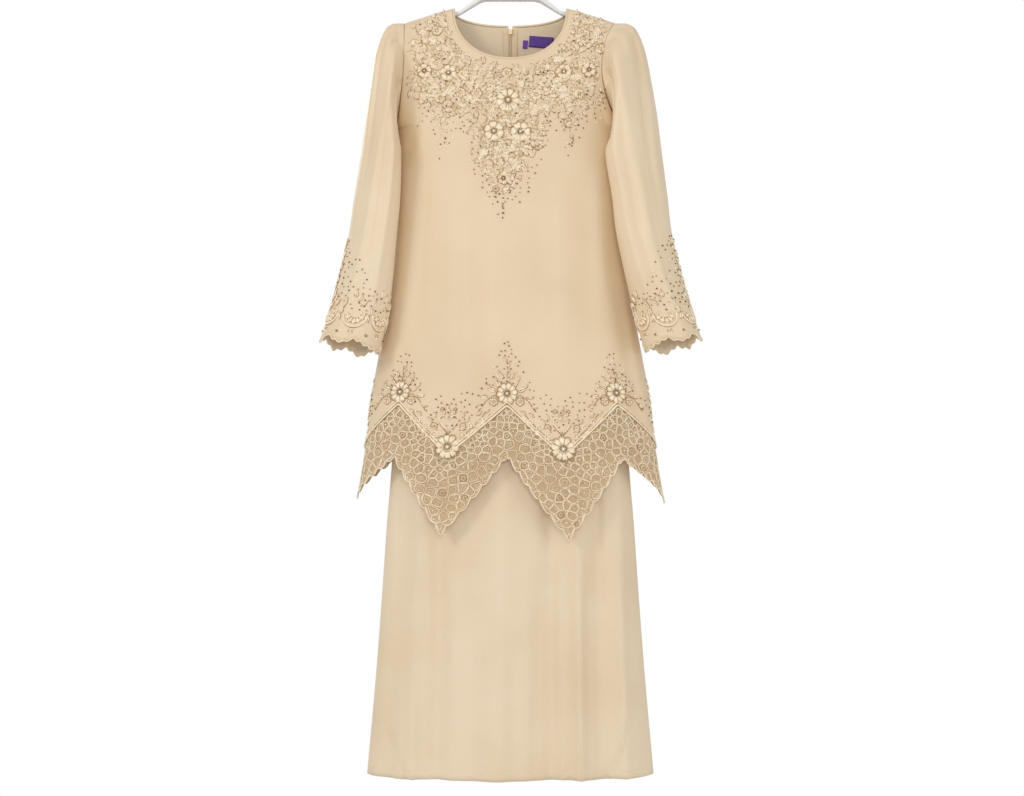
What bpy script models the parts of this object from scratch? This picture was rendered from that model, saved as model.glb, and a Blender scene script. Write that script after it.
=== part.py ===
"""A baju kurung set on its hanger: a long tunic with a lace hem, and a long skirt.

The object hangs by the hanger's hook. +Z is up, the front faces -Y and +X is to the
viewer's right. The origin is at the inside top of the hook, where a rail carries it.
Each cut piece of cloth is a wall of its own, lofted through sections that are worked
out from short tables. All sizes are in millimetres, and MM turns them into metres.
"depth" always means how far a point lies below the neck end of the shoulder seams.
"""
import math
from collections import namedtuple

import bmesh
import bpy
from mathutils import Matrix, Vector

MM = 0.001
SHOULDER_DROP = 105.0           # from the inside top of the hook down to depth 0

# Cloth walls and the gaps between pieces.
CLOTH = 1.2                     # satin crepe, with its turned edges
LACE = 1.0
SEAM = 0.3                      # half the gap at a curved seam
SHOULDER_SEAM = 0.45            # half the gap along the curved top of the shoulders
FLAT_SEAM = 0.15                # half the gap at a flat seam
LAYER_GAP = 0.3                 # between a piece and the one that it lies on

# Neck and shoulders.
NECK_HALF = 104.0               # cut edge of the neck, half its width
NECK_FRONT = 96.0               # cut edge, depth at the centre front
NECK_BACK = 29.0                # cut edge, depth at the centre back
NECK_POWER = 2.2                # roundness of the neck's curve
SHOULDER_END = 190.0            # armhole end of the shoulder seam
SHOULDER_FALL = 26.0            # how far the shoulder seam falls to that end
SHOULDER_SWELL = 15.0           # cloth lies this far from the seam over the hanger
SWELL_LENGTH = 5.0

# Armholes: an upright loop from the shoulder seam's end to the armpit.
ARMPIT = 204.0
ARMPIT_DEPTH = 215.0
SIDE_SEAM_Y = 15.0
ARMHOLE_REACH = {"front": 45.0, "back": 30.0}
ARMHOLE_BOW = {("left", "front"): 6.0, ("left", "back"): 8.0,
               ("right", "front"): 34.0, ("right", "back"): 8.0}

# The tunic's sections below the armpits, and the skirt's.
Section = namedtuple("Section", "depth half_width front back power")
TUNIC = (
    Section(215, 204, 76, 40, 2.4),
    Section(262, 203, 79, 44, 2.4),
    Section(342, 204, 81, 48, 2.4),
    Section(414, 208, 80, 50, 2.4),
    Section(504, 217, 80, 52, 2.4),
    Section(576, 229, 82, 55, 2.4),
    Section(630, 239, 85, 58, 2.4),
    Section(702, 252, 88, 62, 2.4),
    Section(774, 260, 91, 66, 2.4),
    Section(846, 271, 95, 70, 2.4),
    Section(960, 292, 100, 76, 2.4),
)
SKIRT_SEAM_Y = 5.0
SKIRT = (
    Section(418, 180, 40, 32, 2.2),
    Section(560, 194, 48, 40, 2.2),
    Section(700, 205, 53, 46, 2.2),
    Section(850, 216, 60, 52, 2.3),
    Section(920, 222, 64, 55, 2.3),
    Section(1064, 232, 70, 62, 2.3),
    Section(1208, 243, 77, 69, 2.3),
    Section(1352, 256, 84, 76, 2.3),
    Section(1400, 260, 86, 78, 2.3),
)
TYPICAL = Section(774, 260, 91, 66, 2.4)    # spaces the columns of points evenly

# The zigzag hem. "place" runs from -1 at the left side seam, 0 at the centre, to 1 at
# the right side seam; "cloth" and "lace" are the depths of the two lower edges.
HemPoint = namedtuple("HemPoint", "place cloth lace")
FRONT_HEM = (
    HemPoint(-1.00, 792, 882),
    HemPoint(-0.69, 710, 806),
    HemPoint(-0.37, 801, 940),
    HemPoint(-0.02, 713, 804),
    HemPoint(0.31, 805, 950),
    HemPoint(0.66, 712, 809),
    HemPoint(1.00, 792, 890),
)
BACK_HEM = (
    HemPoint(-1.00, 792, 882),
    HemPoint(-0.67, 712, 806),
    HemPoint(-0.34, 803, 944),
    HemPoint(0.00, 712, 806),
    HemPoint(0.34, 803, 944),
    HemPoint(0.67, 712, 806),
    HemPoint(1.00, 792, 890),
)
# How fast some shapes change along their length, as powers of the share of the way.
SHOULDER_CURVE = 1.1            # the shoulder seam's fall
REACH_CURVE = 1.15              # the armhole's reach to the front and back
DROP_CURVE = 0.9                # rows of points from top to bottom
NECK_CURVE = 1.3                # points along the neck, closer towards the shoulder
FOLD_CURVE = 0.8                # growth of the skirt's folds
COLUMNS_PER_POINT = 4
LACE_TUCK = 10.0                # the lace reaches this far up behind the cloth
NECK_SHARE = 2 / 3              # the neck takes this share of a panel's columns
YOKE_ROWS = 9
BODY_ROWS = 8
LACE_ROWS = 3

# Soft folds of the skirt, as ridges (+) and troughs (-) that grow towards the hem.
Fold = namedtuple("Fold", "place width height")
SKIRT_FRONT_FOLDS = (
    Fold(-0.74, 0.07, -5), Fold(-0.62, 0.09, 7), Fold(-0.48, 0.09, -8),
    Fold(-0.08, 0.16, 7), Fold(0.31, 0.12, -10), Fold(0.47, 0.08, 6),
    Fold(0.60, 0.07, -6), Fold(0.76, 0.09, 6),
)
SKIRT_BACK_FOLDS = (
    Fold(-0.66, 0.09, 6), Fold(-0.42, 0.11, -8), Fold(-0.12, 0.14, 7),
    Fold(0.22, 0.11, -7), Fold(0.45, 0.10, 7), Fold(0.68, 0.09, -6),
)
SKIRT_TOP = 453.5
SKIRT_HEM = 1374.0
SKIRT_COLUMNS = 22
SEAM_COLUMN = 0.985             # a column close to each side seam keeps the edge square
SKIRT_ROWS = 8
BAND_TOP = 418.0
BAND_HEIGHT = 35.0
BAND = 2.0                      # elastic in its casing

# Sleeves: rings from the armhole to the cuff, each through its outer, front, inner and
# back points. x is away from the middle of the body, and the front and back points lie
# half way in depth between the outer and the inner one, lowered by "front_drop" or so.
Ring = namedtuple("Ring", "outer outer_y outer_depth front front_y inner inner_y "
                          "inner_depth back back_y front_drop back_drop")
SLEEVE = {
    "left": (
        Ring(202, -2, 26.5, 196, -43, 206.5, 14, 218, 197, 41, 0, 0),
        Ring(213, -4, 28.5, 200, -52, 207.5, 12, 221, 205, 45, 0, 0),
        Ring(227, -8, 41, 203, -63, 208.0, 8, 225, 215, 47, 0, 0),
        Ring(240, -12, 78, 206, -74, 207.0, 2, 231, 226, 45, 0, 0),
        Ring(249, -18, 135, 209, -82, 203.5, -8, 239, 236, 41, 0, 0),
        Ring(257, -23, 195, 212, -85, 199.5, -18, 250, 242, 37, 0, 0),
        Ring(265, -27, 262, 214, -87, 197.0, -27, 270, 247, 33, 0, 0),
        Ring(278, -28, 342, 223, -86, 198.0, -28, 345, 252, 30, 0, 0),
        Ring(289, -29, 414, 234, -86, 204.0, -29, 416, 259, 28, 0, 0),
        Ring(315, -32, 522, 255, -85, 214.0, -32, 526, 274, 21, 0, 2),
        Ring(337, -36, 590, 277, -85, 230.5, -36, 612, 291, 14, -4, 12),
    ),
    "right": (
        Ring(202, -2, 26.5, 169, -44, 206.5, 14, 218, 197, 41, 0, 0),
        Ring(213, -5, 28.5, 174, -55, 208.0, 12, 221, 204, 43, 0, 0),
        Ring(227, -9, 41, 178, -68, 209.0, 8, 225, 214, 42, 0, 0),
        Ring(240, -15, 78, 182, -80, 207.5, 0, 231, 226, 36, 0, 0),
        Ring(249, -24, 135, 185, -90, 201.0, -14, 239, 237, 27, 0, 0),
        Ring(257, -34, 195, 188, -93, 189.0, -30, 250, 243, 16, 0, 0),
        Ring(263, -44, 262, 190, -94, 176.5, -44, 270, 248, 6, 0, 0),
        Ring(275, -43, 342, 205, -94, 186.0, -43, 345, 256, 8, 0, 0),
        Ring(286, -42, 414, 218, -95, 193.0, -42, 416, 261, 11, 0, 0),
        Ring(315, -42, 522, 251, -94, 215.0, -42, 526, 279, 10, 0, 2),
        Ring(338, -42, 588, 278, -91, 236.0, -42, 608, 296, 7, -3, 12),
    ),
}
SLEEVE_SIDES = 18

# Neck binding, a rolled bias strip.
BINDING = 2.0                   # radius
BINDING_GAP = 0.6

# Centre-back zip, concealed: its coil and tapes lie inside the cloth.
ZIP_TOP = 33.0
ZIP_END = 490.0                 # the last row of the panel above this depth
NOTCH_HALF = 3.6                # the panels part by this much at the top of the zip
NOTCH_DEPTH = 16.0
COIL_HALF = 2.0
COIL = 1.6
TAPE_INNER, TAPE_OUTER = 2.4, 13.0
TAPE = 1.0
SLIDER = Vector((6.4, 2.6, 9.0))
ARCH_HALF, ARCH_BAR = 0.8, 1.2
WINDOW_DEEP, WINDOW_TALL = 2.2, 3.4
PULL_WIDTH, PULL_LENGTH, PULL_PLATE = 5.6, 24.0, 1.0
PULL_BAR, PULL_HOLE_HALF, PULL_HOLE = 1.2, 1.2, 4.0
PULL_LEAN = math.radians(2)     # past the slope of the back that it lies along

# Labels sewn inside the back neck: across, depth, width, height, turn.
Label = namedtuple("Label", "name centre depth width height turn colour")
LABELS = (
    Label("neck_label", 56, 55, 44, 20, -4, (0.070, 0.007, 0.235)),
    Label("size_tab", 27, 59, 9, 15, -4, (0.147, 0.028, 0.352)),
)
LABEL = 1.0

# The hanger: sections from the middle out along one arm, then its hook of wire.
Arm = namedtuple("Arm", "x top bottom half_depth")
HANGER = (
    Arm(0, -27, -14, 12.5),
    Arm(44, -27, -14, 12.5),
    Arm(54, -24.5, -11, 12.0),
    Arm(90, 3.0, 11, 6.0),
    Arm(106, 7.0, 16, 6.5),
    Arm(170, 25.5, 36, 8.0),
    Arm(180, 31.0, 35, 5.0),
)
HANGER_SIDES = 12
HOOK_WIRE = 2.0
HOOK_RADIUS = 20.0              # inside
HOOK_START, HOOK_END = -55, 200  # degrees round the rail, from +X

# Ribbon loops that hang the skirt's waistband from the hanger's arms.
LOOP_X = 150.0
LOOP_WIDTH = 6.0
LOOP = 1.0


def place(x, y, depth):
    """A point in metres, from x, y and a depth below the neck's shoulder points."""
    return Vector((x, y, -SHOULDER_DROP - depth)) * MM


def between(table, depth, column):
    """A column of a table of sections, read smoothly at a depth."""
    rows = [(row.depth, getattr(row, column)) for row in table]
    if depth <= rows[0][0]:
        return rows[0][1]
    for index in range(len(rows) - 1):
        (low, first), (high, second) = rows[index], rows[index + 1]
        if depth <= high:
            before = rows[max(index - 1, 0)]
            after = rows[min(index + 2, len(rows) - 1)]
            step = high - low
            rise_in = (second - before[1]) / (high - before[0]) * step
            rise_out = (after[1] - first) / (after[0] - low) * step
            t = (depth - low) / step
            return ((2 * t ** 3 - 3 * t ** 2 + 1) * first + (t ** 3 - 2 * t ** 2 + t) * rise_in
                    + (3 * t ** 2 - 2 * t ** 3) * second + (t ** 3 - t ** 2) * rise_out)
    return rows[-1][1]


def along(points, t):
    """Straight reading of (place, value) pairs at t."""
    for (low, first), (high, second) in zip(points, points[1:]):
        if t <= high:
            return first + (second - first) * (t - low) / (high - low)
    return points[-1][1]


def round_section(angle, power):
    """Across (-1 to 1) and outwards (0 to 1) on a rounded half section."""
    across = math.copysign(abs(math.sin(angle)) ** (2 / power), angle)
    return across, abs(math.cos(angle)) ** (2 / power)


def even_angles(places):
    """Angles whose points are spaced along a typical half section like the places."""
    steps = 360
    angles = [-math.pi / 2 + math.pi * step / steps for step in range(steps + 1)]
    walk = [0.0]
    last = None
    for angle in angles:
        across, out = round_section(angle, TYPICAL.power)
        point = Vector((across * TYPICAL.half_width, out * TYPICAL.front))
        if last is not None:
            walk.append(walk[-1] + (point - last).length)
        last = point
    pairs = [(2 * length / walk[-1] - 1, angle) for length, angle in zip(walk, angles)]
    return [along(pairs, spot) for spot in places]


def shoulder_line(x):
    """Depth of the shoulder seam, level across the neck."""
    return SHOULDER_FALL * max(0.0, (abs(x) - NECK_HALF) / (SHOULDER_END - NECK_HALF)) ** SHOULDER_CURVE


def armhole(side, half, turn):
    """A point of an armhole: turn 0 at the shoulder seam, pi at the armpit."""
    cosine, sine = math.cos(turn), max(0.0, math.sin(turn))
    x = (SHOULDER_END + ARMPIT) / 2 - cosine * (ARMPIT - SHOULDER_END) / 2
    front, back = ARMHOLE_BOW[side, "front"], ARMHOLE_BOW[side, "back"]
    lean = (front - back) / 2 * sine
    x -= (front + back) / 2 * sine ** 2 + (lean if half == "front" else -lean)
    depth = (SHOULDER_FALL + ARMPIT_DEPTH) / 2 - cosine * (ARMPIT_DEPTH - SHOULDER_FALL) / 2
    reach = ARMHOLE_REACH[half] * sine ** REACH_CURVE
    y = SIDE_SEAM_Y * (1 - cosine) / 2 + (-reach if half == "front" else reach)
    return x, y, depth


def armhole_turn(depth):
    """The turn of the armhole's point at a depth."""
    cosine = 1 - 2 * (depth - SHOULDER_FALL) / (ARMPIT_DEPTH - SHOULDER_FALL)
    return math.acos(max(-1.0, min(1.0, cosine)))


def edge_and_bow(half, side, depth):
    """The unbowed half width above the armpit, and how far the armhole bows in."""
    turn = armhole_turn(depth)
    straight = (SHOULDER_END + ARMPIT) / 2 - math.cos(turn) * (ARMPIT - SHOULDER_END) / 2
    return straight, straight - armhole(side, half, turn)[0]


def across_at(half, x, depth):
    """How far across its half the panel's point at x lies, 0 at the middle to 1."""
    if depth >= ARMPIT_DEPTH:
        return x / between(TUNIC, depth, "half_width")
    straight, bow = edge_and_bow(half, "left" if x < 0 else "right", depth)
    across = x / straight
    for _ in range(12):
        across = (x + bow * across ** 3) / straight
    return across


def body_point(half, across, out, depth):
    """A point on the outside of the tunic: across -1 to 1, out 0 at its sides."""
    side = "left" if across < 0 else "right"
    sign = -1 if half == "front" else 1
    if depth >= ARMPIT_DEPTH:
        half_width = between(TUNIC, depth, "half_width")
        y = SIDE_SEAM_Y + sign * out * between(TUNIC, depth, half)
        return across * half_width, y + sign * SEAM * (1 - out), depth
    straight, bow = edge_and_bow(half, side, depth)
    edge_y = armhole(side, half, armhole_turn(depth))[1]
    x = across * straight - bow * across ** 3
    below = max(0.0, depth - shoulder_line(x))
    share = below / (ARMPIT_DEPTH - shoulder_line(x))
    swell = SHOULDER_SWELL * math.sqrt(1 - math.exp(-below / SWELL_LENGTH))
    middle = abs(SIDE_SEAM_Y + sign * between(TUNIC, ARMPIT_DEPTH, half))
    centre_y = sign * (swell + (middle - SHOULDER_SWELL) * share ** DROP_CURVE)
    return x, edge_y + (centre_y - edge_y) * out + sign * SHOULDER_SEAM, depth


def neck_edge(half, share):
    """The cut neck: share 0 at the centre, 1 at the shoulder seam, closer towards it."""
    turn = math.pi / 2 * (1 - (1 - share) ** NECK_CURVE)
    drop = NECK_FRONT if half == "front" else NECK_BACK
    x = NECK_HALF * abs(math.sin(turn)) ** (2 / NECK_POWER)
    return x, drop * abs(math.cos(turn)) ** (2 / NECK_POWER)


def top_edge(half, share):
    """Across and depth of the top edge: share 0 at the centre, 1 at the armhole."""
    if share <= NECK_SHARE:
        return neck_edge(half, share / NECK_SHARE)
    x = NECK_HALF + (SHOULDER_END - NECK_HALF) * (share - NECK_SHARE) / (1 - NECK_SHARE)
    return x, shoulder_line(x)


def surface(half, x, depth):
    """The outside of the tunic at x and a depth."""
    across = across_at(half, x, depth)
    power = between(TUNIC, depth, "power")
    out = max(0.0, 1 - abs(across) ** power) ** (1 / power)
    return body_point(half, across, out, depth)


def panel_rows(half, places, hem):
    """Rows of points on a tunic panel, from its top edge down to its hem."""
    turns = [0.0, 0.1, 0.2] + [math.pi * (row + 1) / YOKE_ROWS for row in range(YOKE_ROWS)]
    rows = []
    for turn in turns:
        row = []
        for index, (spot, angle) in enumerate(zip(places, even_angles(places))):
            top_spot = 2 * index / (len(places) - 1) - 1
            neckward = min(1.0, 2.0 * max(0.0, 1 - abs(top_spot) / NECK_SHARE))
            share = (1 - math.cos(turn)) / 2 * (1 - neckward) + turn / math.pi * neckward
            across, out = round_section(angle, TYPICAL.power)
            top_x, top_depth = top_edge(half, abs(top_spot))
            start = across_at(half, math.copysign(top_x, top_spot), top_depth)
            fans_out = abs(top_spot) < NECK_SHARE + 0.01    # from the neck's corner
            across = start + (across - start) * share ** (0.5 if fans_out else 1.0)
            x = across * (SHOULDER_END + (ARMPIT - SHOULDER_END) * share)
            fall = max(0.0, shoulder_line(x) - shoulder_line(top_x))
            depth = top_depth + fall * (1 - share) + (ARMPIT_DEPTH - top_depth) * share
            out = max(0.0, 1 - abs(across) ** TYPICAL.power) ** (1 / TYPICAL.power)
            row.append(body_point(half, across, out, depth))
        rows.append(row)
    for number in range(1, BODY_ROWS + 1):
        share = number / BODY_ROWS
        row = []
        for spot, angle, edge in zip(places, even_angles(places), hem):
            across, out = round_section(angle, TYPICAL.power)
            depth = ARMPIT_DEPTH + (edge - ARMPIT_DEPTH) * share ** DROP_CURVE
            row.append(body_point(half, across, out, depth))
        rows.append(row)
    return rows


def hem_places(hem):
    """Places of the columns, the same number between each pair of hem points."""
    places = []
    for first, second in zip(hem, hem[1:]):
        for step in range(COLUMNS_PER_POINT):
            places.append(first.place + (second.place - first.place) * step / COLUMNS_PER_POINT)
    return places + [hem[-1].place]


def hem_line(hem, places, column):
    """Depths of one lower edge at the places."""
    pairs = [(row.place, getattr(row, column)) for row in hem]
    return [along(pairs, spot) for spot in places]


def moved_in(rows, closed, distance):
    """The same rows of points moved inwards, at right angles to the sheet."""
    last = len(rows[0]) - 1
    result = []
    for number, row in enumerate(rows):
        above, below = rows[max(number - 1, 0)], rows[min(number + 1, len(rows) - 1)]
        moved = []
        for column, point in enumerate(row):
            before = row[column - 1] if closed or column else point
            after = row[(column + 1) % (last + 1)] if closed or column < last else point
            down = Vector(below[column]) - Vector(above[column])
            right = Vector(after) - Vector(before)
            flat = Vector((down.x, down.y, -down.z)).cross(Vector((right.x, right.y, -right.z)))
            flat.normalize()
            moved.append((point[0] - flat.x * distance, point[1] - flat.y * distance,
                          point[2] + flat.z * distance))
        result.append(moved)
    return result


def start():
    """Empty the file and make the object's collection."""
    for thing in list(bpy.data.objects):
        bpy.data.objects.remove(thing, do_unlink=True)
    collection = bpy.data.collections.new("baju_kurung_on_hanger")
    bpy.context.scene.collection.children.link(collection)
    return collection


def material(name, colour, roughness, metallic=0.0):
    """A plain material of one colour."""
    made = bpy.data.materials.new(name)
    made.use_nodes = True
    shader = made.node_tree.nodes["Principled BSDF"]
    shader.inputs["Base Color"].default_value = (*colour, 1)
    shader.inputs["Roughness"].default_value = roughness
    shader.inputs["Metallic"].default_value = metallic
    return made


def add_object(name, mesh, look, collection):
    """Put a mesh in the object's collection with its material."""
    made = bpy.data.objects.new(name, mesh)
    mesh.materials.append(look)
    collection.objects.link(made)
    return made


def sheet(name, rows, thickness, look, collection, closed=False, turned=False):
    """A wall of cloth: an open sheet through rows of points, thickened inwards."""
    shape = bmesh.new()
    grid = [[shape.verts.new(place(*point)) for point in row] for row in rows]
    count = len(grid[0])
    for upper, lower in zip(grid, grid[1:]):
        for column in range(count if closed else count - 1):
            after = (column + 1) % count
            corners = [upper[column], lower[column], lower[after], upper[after]]
            shape.faces.new(corners[::-1] if turned else corners)
    mesh = bpy.data.meshes.new(name)
    shape.to_mesh(mesh)
    shape.free()
    mesh.shade_smooth()
    made = add_object(name, mesh, look, collection)
    wall = made.modifiers.new("wall", "SOLIDIFY")
    wall.thickness = thickness * MM
    wall.offset = -1
    return made


def wire(name, points, radius, look, collection, sides=2):
    """A solid tube along a chain of points."""
    curve = bpy.data.curves.new(name, "CURVE")
    curve.dimensions = "3D"
    curve.bevel_depth = radius * MM
    curve.bevel_resolution = sides
    curve.use_fill_caps = True
    spline = curve.splines.new("POLY")
    spline.points.add(len(points) - 1)
    for knot, point in zip(spline.points, points):
        knot.co = (*point, 1)
    made = bpy.data.objects.new(name, curve)
    curve.materials.append(look)
    collection.objects.link(made)
    return made


def box(name, size, centre, look, collection):
    """A box of a size in millimetres about a centre in metres."""
    shape = bmesh.new()
    bmesh.ops.create_cube(shape, size=1, matrix=Matrix.Translation(centre)
                          @ Matrix.Diagonal((size[0] * MM, size[1] * MM, size[2] * MM, 1)))
    mesh = bpy.data.meshes.new(name)
    shape.to_mesh(mesh)
    shape.free()
    return add_object(name, mesh, look, collection)


def combine(target, tool, operation):
    """Join a helper to an object, or cut the object with it."""
    step = target.modifiers.new(operation.lower(), "BOOLEAN")
    step.operation = operation
    step.object = tool
    tool.hide_render = True
    tool.display_type = "WIRE"


def build_tunic(satin, lace, collection):
    """Front, two backs that meet at the zip, and the lace below them."""
    places = hem_places(FRONT_HEM)
    rows = panel_rows("front", places, hem_line(FRONT_HEM, places, "cloth"))
    sheet("tunic_front", rows, CLOTH, satin, collection)
    places = hem_places(BACK_HEM)
    middle = len(places) // 2
    rows = panel_rows("back", places, hem_line(BACK_HEM, places, "cloth"))
    halves = (("tunic_back_left", [row[:middle + 1] for row in rows], -1),
              ("tunic_back_right", [row[middle:] for row in rows], 1))
    for name, half, sign in halves:
        edge = middle if sign < 0 else 0
        for row in half:
            x, y, depth = row[edge]
            part = max(0.0, 1 - max(0.0, depth - NECK_BACK) / NOTCH_DEPTH)
            row[edge] = (sign * max(FLAT_SEAM, NOTCH_HALF * part), y, depth)
        sheet(name, [row[::-1] for row in half], CLOTH, satin, collection)
    for half, hem in (("front", FRONT_HEM), ("back", BACK_HEM)):
        build_lace("lace_" + half, half, hem, lace, collection)


def build_lace(name, half, hem, lace, collection):
    """A lace border that starts behind the cloth's zigzag edge and ends in points."""
    places = hem_places(hem)
    upper = hem_line(hem, places, "cloth")
    lower = hem_line(hem, places, "lace")
    rows = []
    for number in range(LACE_ROWS + 1):
        share = number / LACE_ROWS
        row = []
        for spot, angle, top, bottom in zip(places, even_angles(places), upper, lower):
            across, out = round_section(angle, TYPICAL.power)
            depth = top - LACE_TUCK + (bottom - top + LACE_TUCK) * share
            row.append(body_point(half, across, out, depth))
        rows.append(row if half == "front" else row[::-1])
    rows = moved_in(rows, False, CLOTH + LAYER_GAP)
    sign = -1 if half == "front" else 1
    for row in rows:
        for column in (0, -1):
            x, _, depth = row[column]
            row[column] = (x, SIDE_SEAM_Y + sign * SEAM, depth)
    sheet(name, rows, LACE, lace, collection)


def ring_point(outer, front, inner, back, turn):
    """A point on the smooth ring through four points, turn 0 at the outer one."""
    ends, sides = (outer + inner) / 2, (front + back) / 2
    return ((ends + sides) / 2 + math.cos(turn) * (outer - inner) / 2
            + math.sin(turn) * (front - back) / 2 + math.cos(2 * turn) * (ends - sides) / 2)


def sleeve_rows(side):
    """Rings of a sleeve, from the armhole down to the cuff."""
    turns = [2 * math.pi * step / SLEEVE_SIDES for step in range(SLEEVE_SIDES)]
    first = []
    for turn in turns:
        half = "front" if turn <= math.pi else "back"
        x, y, depth = armhole(side, half, turn if half == "front" else 2 * math.pi - turn)
        first.append(Vector((x + 2 * SEAM, y, depth)))
    rings = [first]
    for ring in SLEEVE[side]:
        middle = (ring.outer_depth + ring.inner_depth) / 2
        outer = Vector((ring.outer, ring.outer_y, ring.outer_depth))
        front = Vector((ring.front, ring.front_y, middle + ring.front_drop))
        inner = Vector((ring.inner, ring.inner_y, ring.inner_depth))
        back = Vector((ring.back, ring.back_y, middle + ring.back_drop))
        rings.append([ring_point(outer, front, inner, back, turn) for turn in turns])
    sign = -1 if side == "left" else 1
    return [[(sign * point.x, point.y, point.z) for point in ring] for ring in rings]


def build_sleeves(satin, collection):
    """Two sleeves with gathered heads and bell cuffs."""
    for side in ("left", "right"):
        sheet("sleeve_" + side, sleeve_rows(side), CLOTH, satin, collection,
              closed=True, turned=side == "right")


def build_neck(satin, collection):
    """The binding runs from one side of the zip round the neck to the other."""
    edges = {}
    for half, hem in (("front", FRONT_HEM), ("back", BACK_HEM)):
        places = hem_places(hem)
        top = panel_rows(half, places, hem_line(hem, places, "cloth"))[0]
        first = round((1 - NECK_SHARE) * (len(top) - 1) / 2)
        sign = 1 if half == "front" else -1
        edges[half] = [Vector((x, y + sign * CLOTH / 2, depth + CLOTH / 2))
                       for x, y, depth in top[first:len(top) - first]]
    front, back = edges["front"], edges["back"]
    middle = len(back) // 2
    ends = [Vector((sign * NOTCH_HALF, back[middle].y, back[middle].z)) for sign in (-1, 1)]
    route = [ends[0]] + back[1:middle][::-1] + front + back[middle + 1:-1][::-1] + [ends[1]]
    points = []
    for index, point in enumerate(route):
        along_edge = route[min(index + 1, len(route) - 1)] - route[max(index - 1, 0)]
        along_edge.normalize()
        upwards = 1 if point.y > 0 else 0.4
        inwards = Vector((-point.x, -point.y * 0.6, -point.z * upwards))
        inwards -= along_edge * inwards.dot(along_edge)
        points.append(place(*(point + inwards.normalized() * (BINDING + BINDING_GAP))))
    wire("neck_binding", points, BINDING, satin, collection, sides=1)


def strip_rows(left, right, top, inset):
    """Rows of a narrow strip inside the back, on the rows of the panels beside it."""
    places = hem_places(BACK_HEM)
    panel = panel_rows("back", places, hem_line(BACK_HEM, places, "cloth"))
    depths = [row[len(places) // 2][2] for row in panel]
    rows = []
    for depth in [top] + [depth for depth in depths if top + 2 < depth < ZIP_END]:
        row = [surface("back", x, depth) for x in (right, (left + right) / 2, left)]
        rows.append([(x, y - inset, depth) for x, y, _ in row])
    return rows


def build_zip(tape, nylon, metal, collection):
    """Tapes and coil inside the back, and a slider whose pull tab hangs outside."""
    inset = CLOTH + LAYER_GAP
    for side, left, right in (("left", -TAPE_OUTER, -TAPE_INNER), ("right", TAPE_INNER, TAPE_OUTER)):
        rows = strip_rows(left, right, ZIP_TOP, inset)
        sheet("zip_tape_" + side, rows, TAPE, tape, collection)
    below = ZIP_TOP + SLIDER.z + 2 * LAYER_GAP
    rows = strip_rows(-COIL_HALF, COIL_HALF, below, inset)
    sheet("zip_coil", rows, COIL, nylon, collection)
    build_slider(inset, metal, collection)


def build_slider(inset, metal, collection):
    """The slider's body lies inside, and its arch comes out through the notch."""
    top = ZIP_TOP
    depth = top + SLIDER.z / 2
    inner = surface("back", 0, top)[1] - inset - TAPE - LAYER_GAP
    body_y = inner - SLIDER.y / 2
    slider = box("zip_slider", SLIDER, place(0, body_y, depth), metal, collection)
    arch_depth = top + 1.6 + WINDOW_TALL / 2 + ARCH_BAR - 3
    outside = surface("back", 0, arch_depth)[1] + LAYER_GAP
    front, back = body_y, outside + WINDOW_DEEP + ARCH_BAR
    tall = WINDOW_TALL + 2 * ARCH_BAR
    arch = box("arch", (2 * ARCH_HALF, back - front, tall),
               place(0, (front + back) / 2, arch_depth), metal, collection)
    window = box("window", (4 * ARCH_HALF, WINDOW_DEEP, WINDOW_TALL),
                 place(0, outside + WINDOW_DEEP / 2, arch_depth), metal, collection)
    combine(slider, arch, "UNION")
    combine(slider, window, "DIFFERENCE")
    lower = surface("back", 0, arch_depth + PULL_LENGTH)[1]
    slope = math.atan2(lower - surface("back", 0, arch_depth)[1], PULL_LENGTH)
    pivot = place(0, outside + WINDOW_DEEP / 2, arch_depth)
    build_pull(pivot, slope + PULL_LEAN, metal, collection)


def build_pull(pivot, lean, metal, collection):
    """A flat tab whose top bar turns in the slider's arch, about X."""
    half = PULL_WIDTH / 2
    outline = [(-half, PULL_BAR / 2), (-half, -9), (-half + 0.8, -PULL_LENGTH + 2.4),
               (-half + 2.0, -PULL_LENGTH), (half - 2.0, -PULL_LENGTH),
               (half - 0.8, -PULL_LENGTH + 2.4), (half, -9), (half, PULL_BAR / 2)]
    low = -PULL_BAR / 2 - PULL_HOLE
    hole = [(-PULL_HOLE_HALF, -PULL_BAR / 2), (PULL_HOLE_HALF, -PULL_BAR / 2),
            (PULL_HOLE_HALF, low), (-PULL_HOLE_HALF, low)]
    curve = bpy.data.curves.new("zip_pull", "CURVE")
    curve.dimensions = "2D"
    curve.fill_mode = "BOTH"
    curve.extrude = PULL_PLATE / 2 * MM
    for ring in (outline, hole):
        spline = curve.splines.new("POLY")
        spline.points.add(len(ring) - 1)
        spline.use_cyclic_u = True
        for knot, (x, y) in zip(spline.points, ring):
            knot.co = (x * MM, y * MM, 0, 1)
    curve.materials.append(metal)
    pull = bpy.data.objects.new("zip_pull", curve)
    pull.location = pivot
    pull.rotation_euler = (math.pi / 2 + lean, 0, 0)
    collection.objects.link(pull)


def build_labels(collection):
    """The maker's label and the size tab, plain, sewn inside the back neck."""
    for label in LABELS:
        look = material(label.name + "_satin", label.colour, 0.5)
        turn = math.radians(label.turn)
        rows = []
        for down in (-0.5, 0.5):
            row = []
            for right in (0.5, 0, -0.5):
                x = label.centre + right * label.width * math.cos(turn) \
                    + down * label.height * math.sin(turn)
                depth = label.depth + down * label.height * math.cos(turn) \
                    - right * label.width * math.sin(turn)
                x, y, _ = surface("back", x, depth)
                row.append((x, y - CLOTH - 2 * LAYER_GAP, depth))
            rows.append(row)
        sheet(label.name, rows, LABEL, look, collection)


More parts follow.
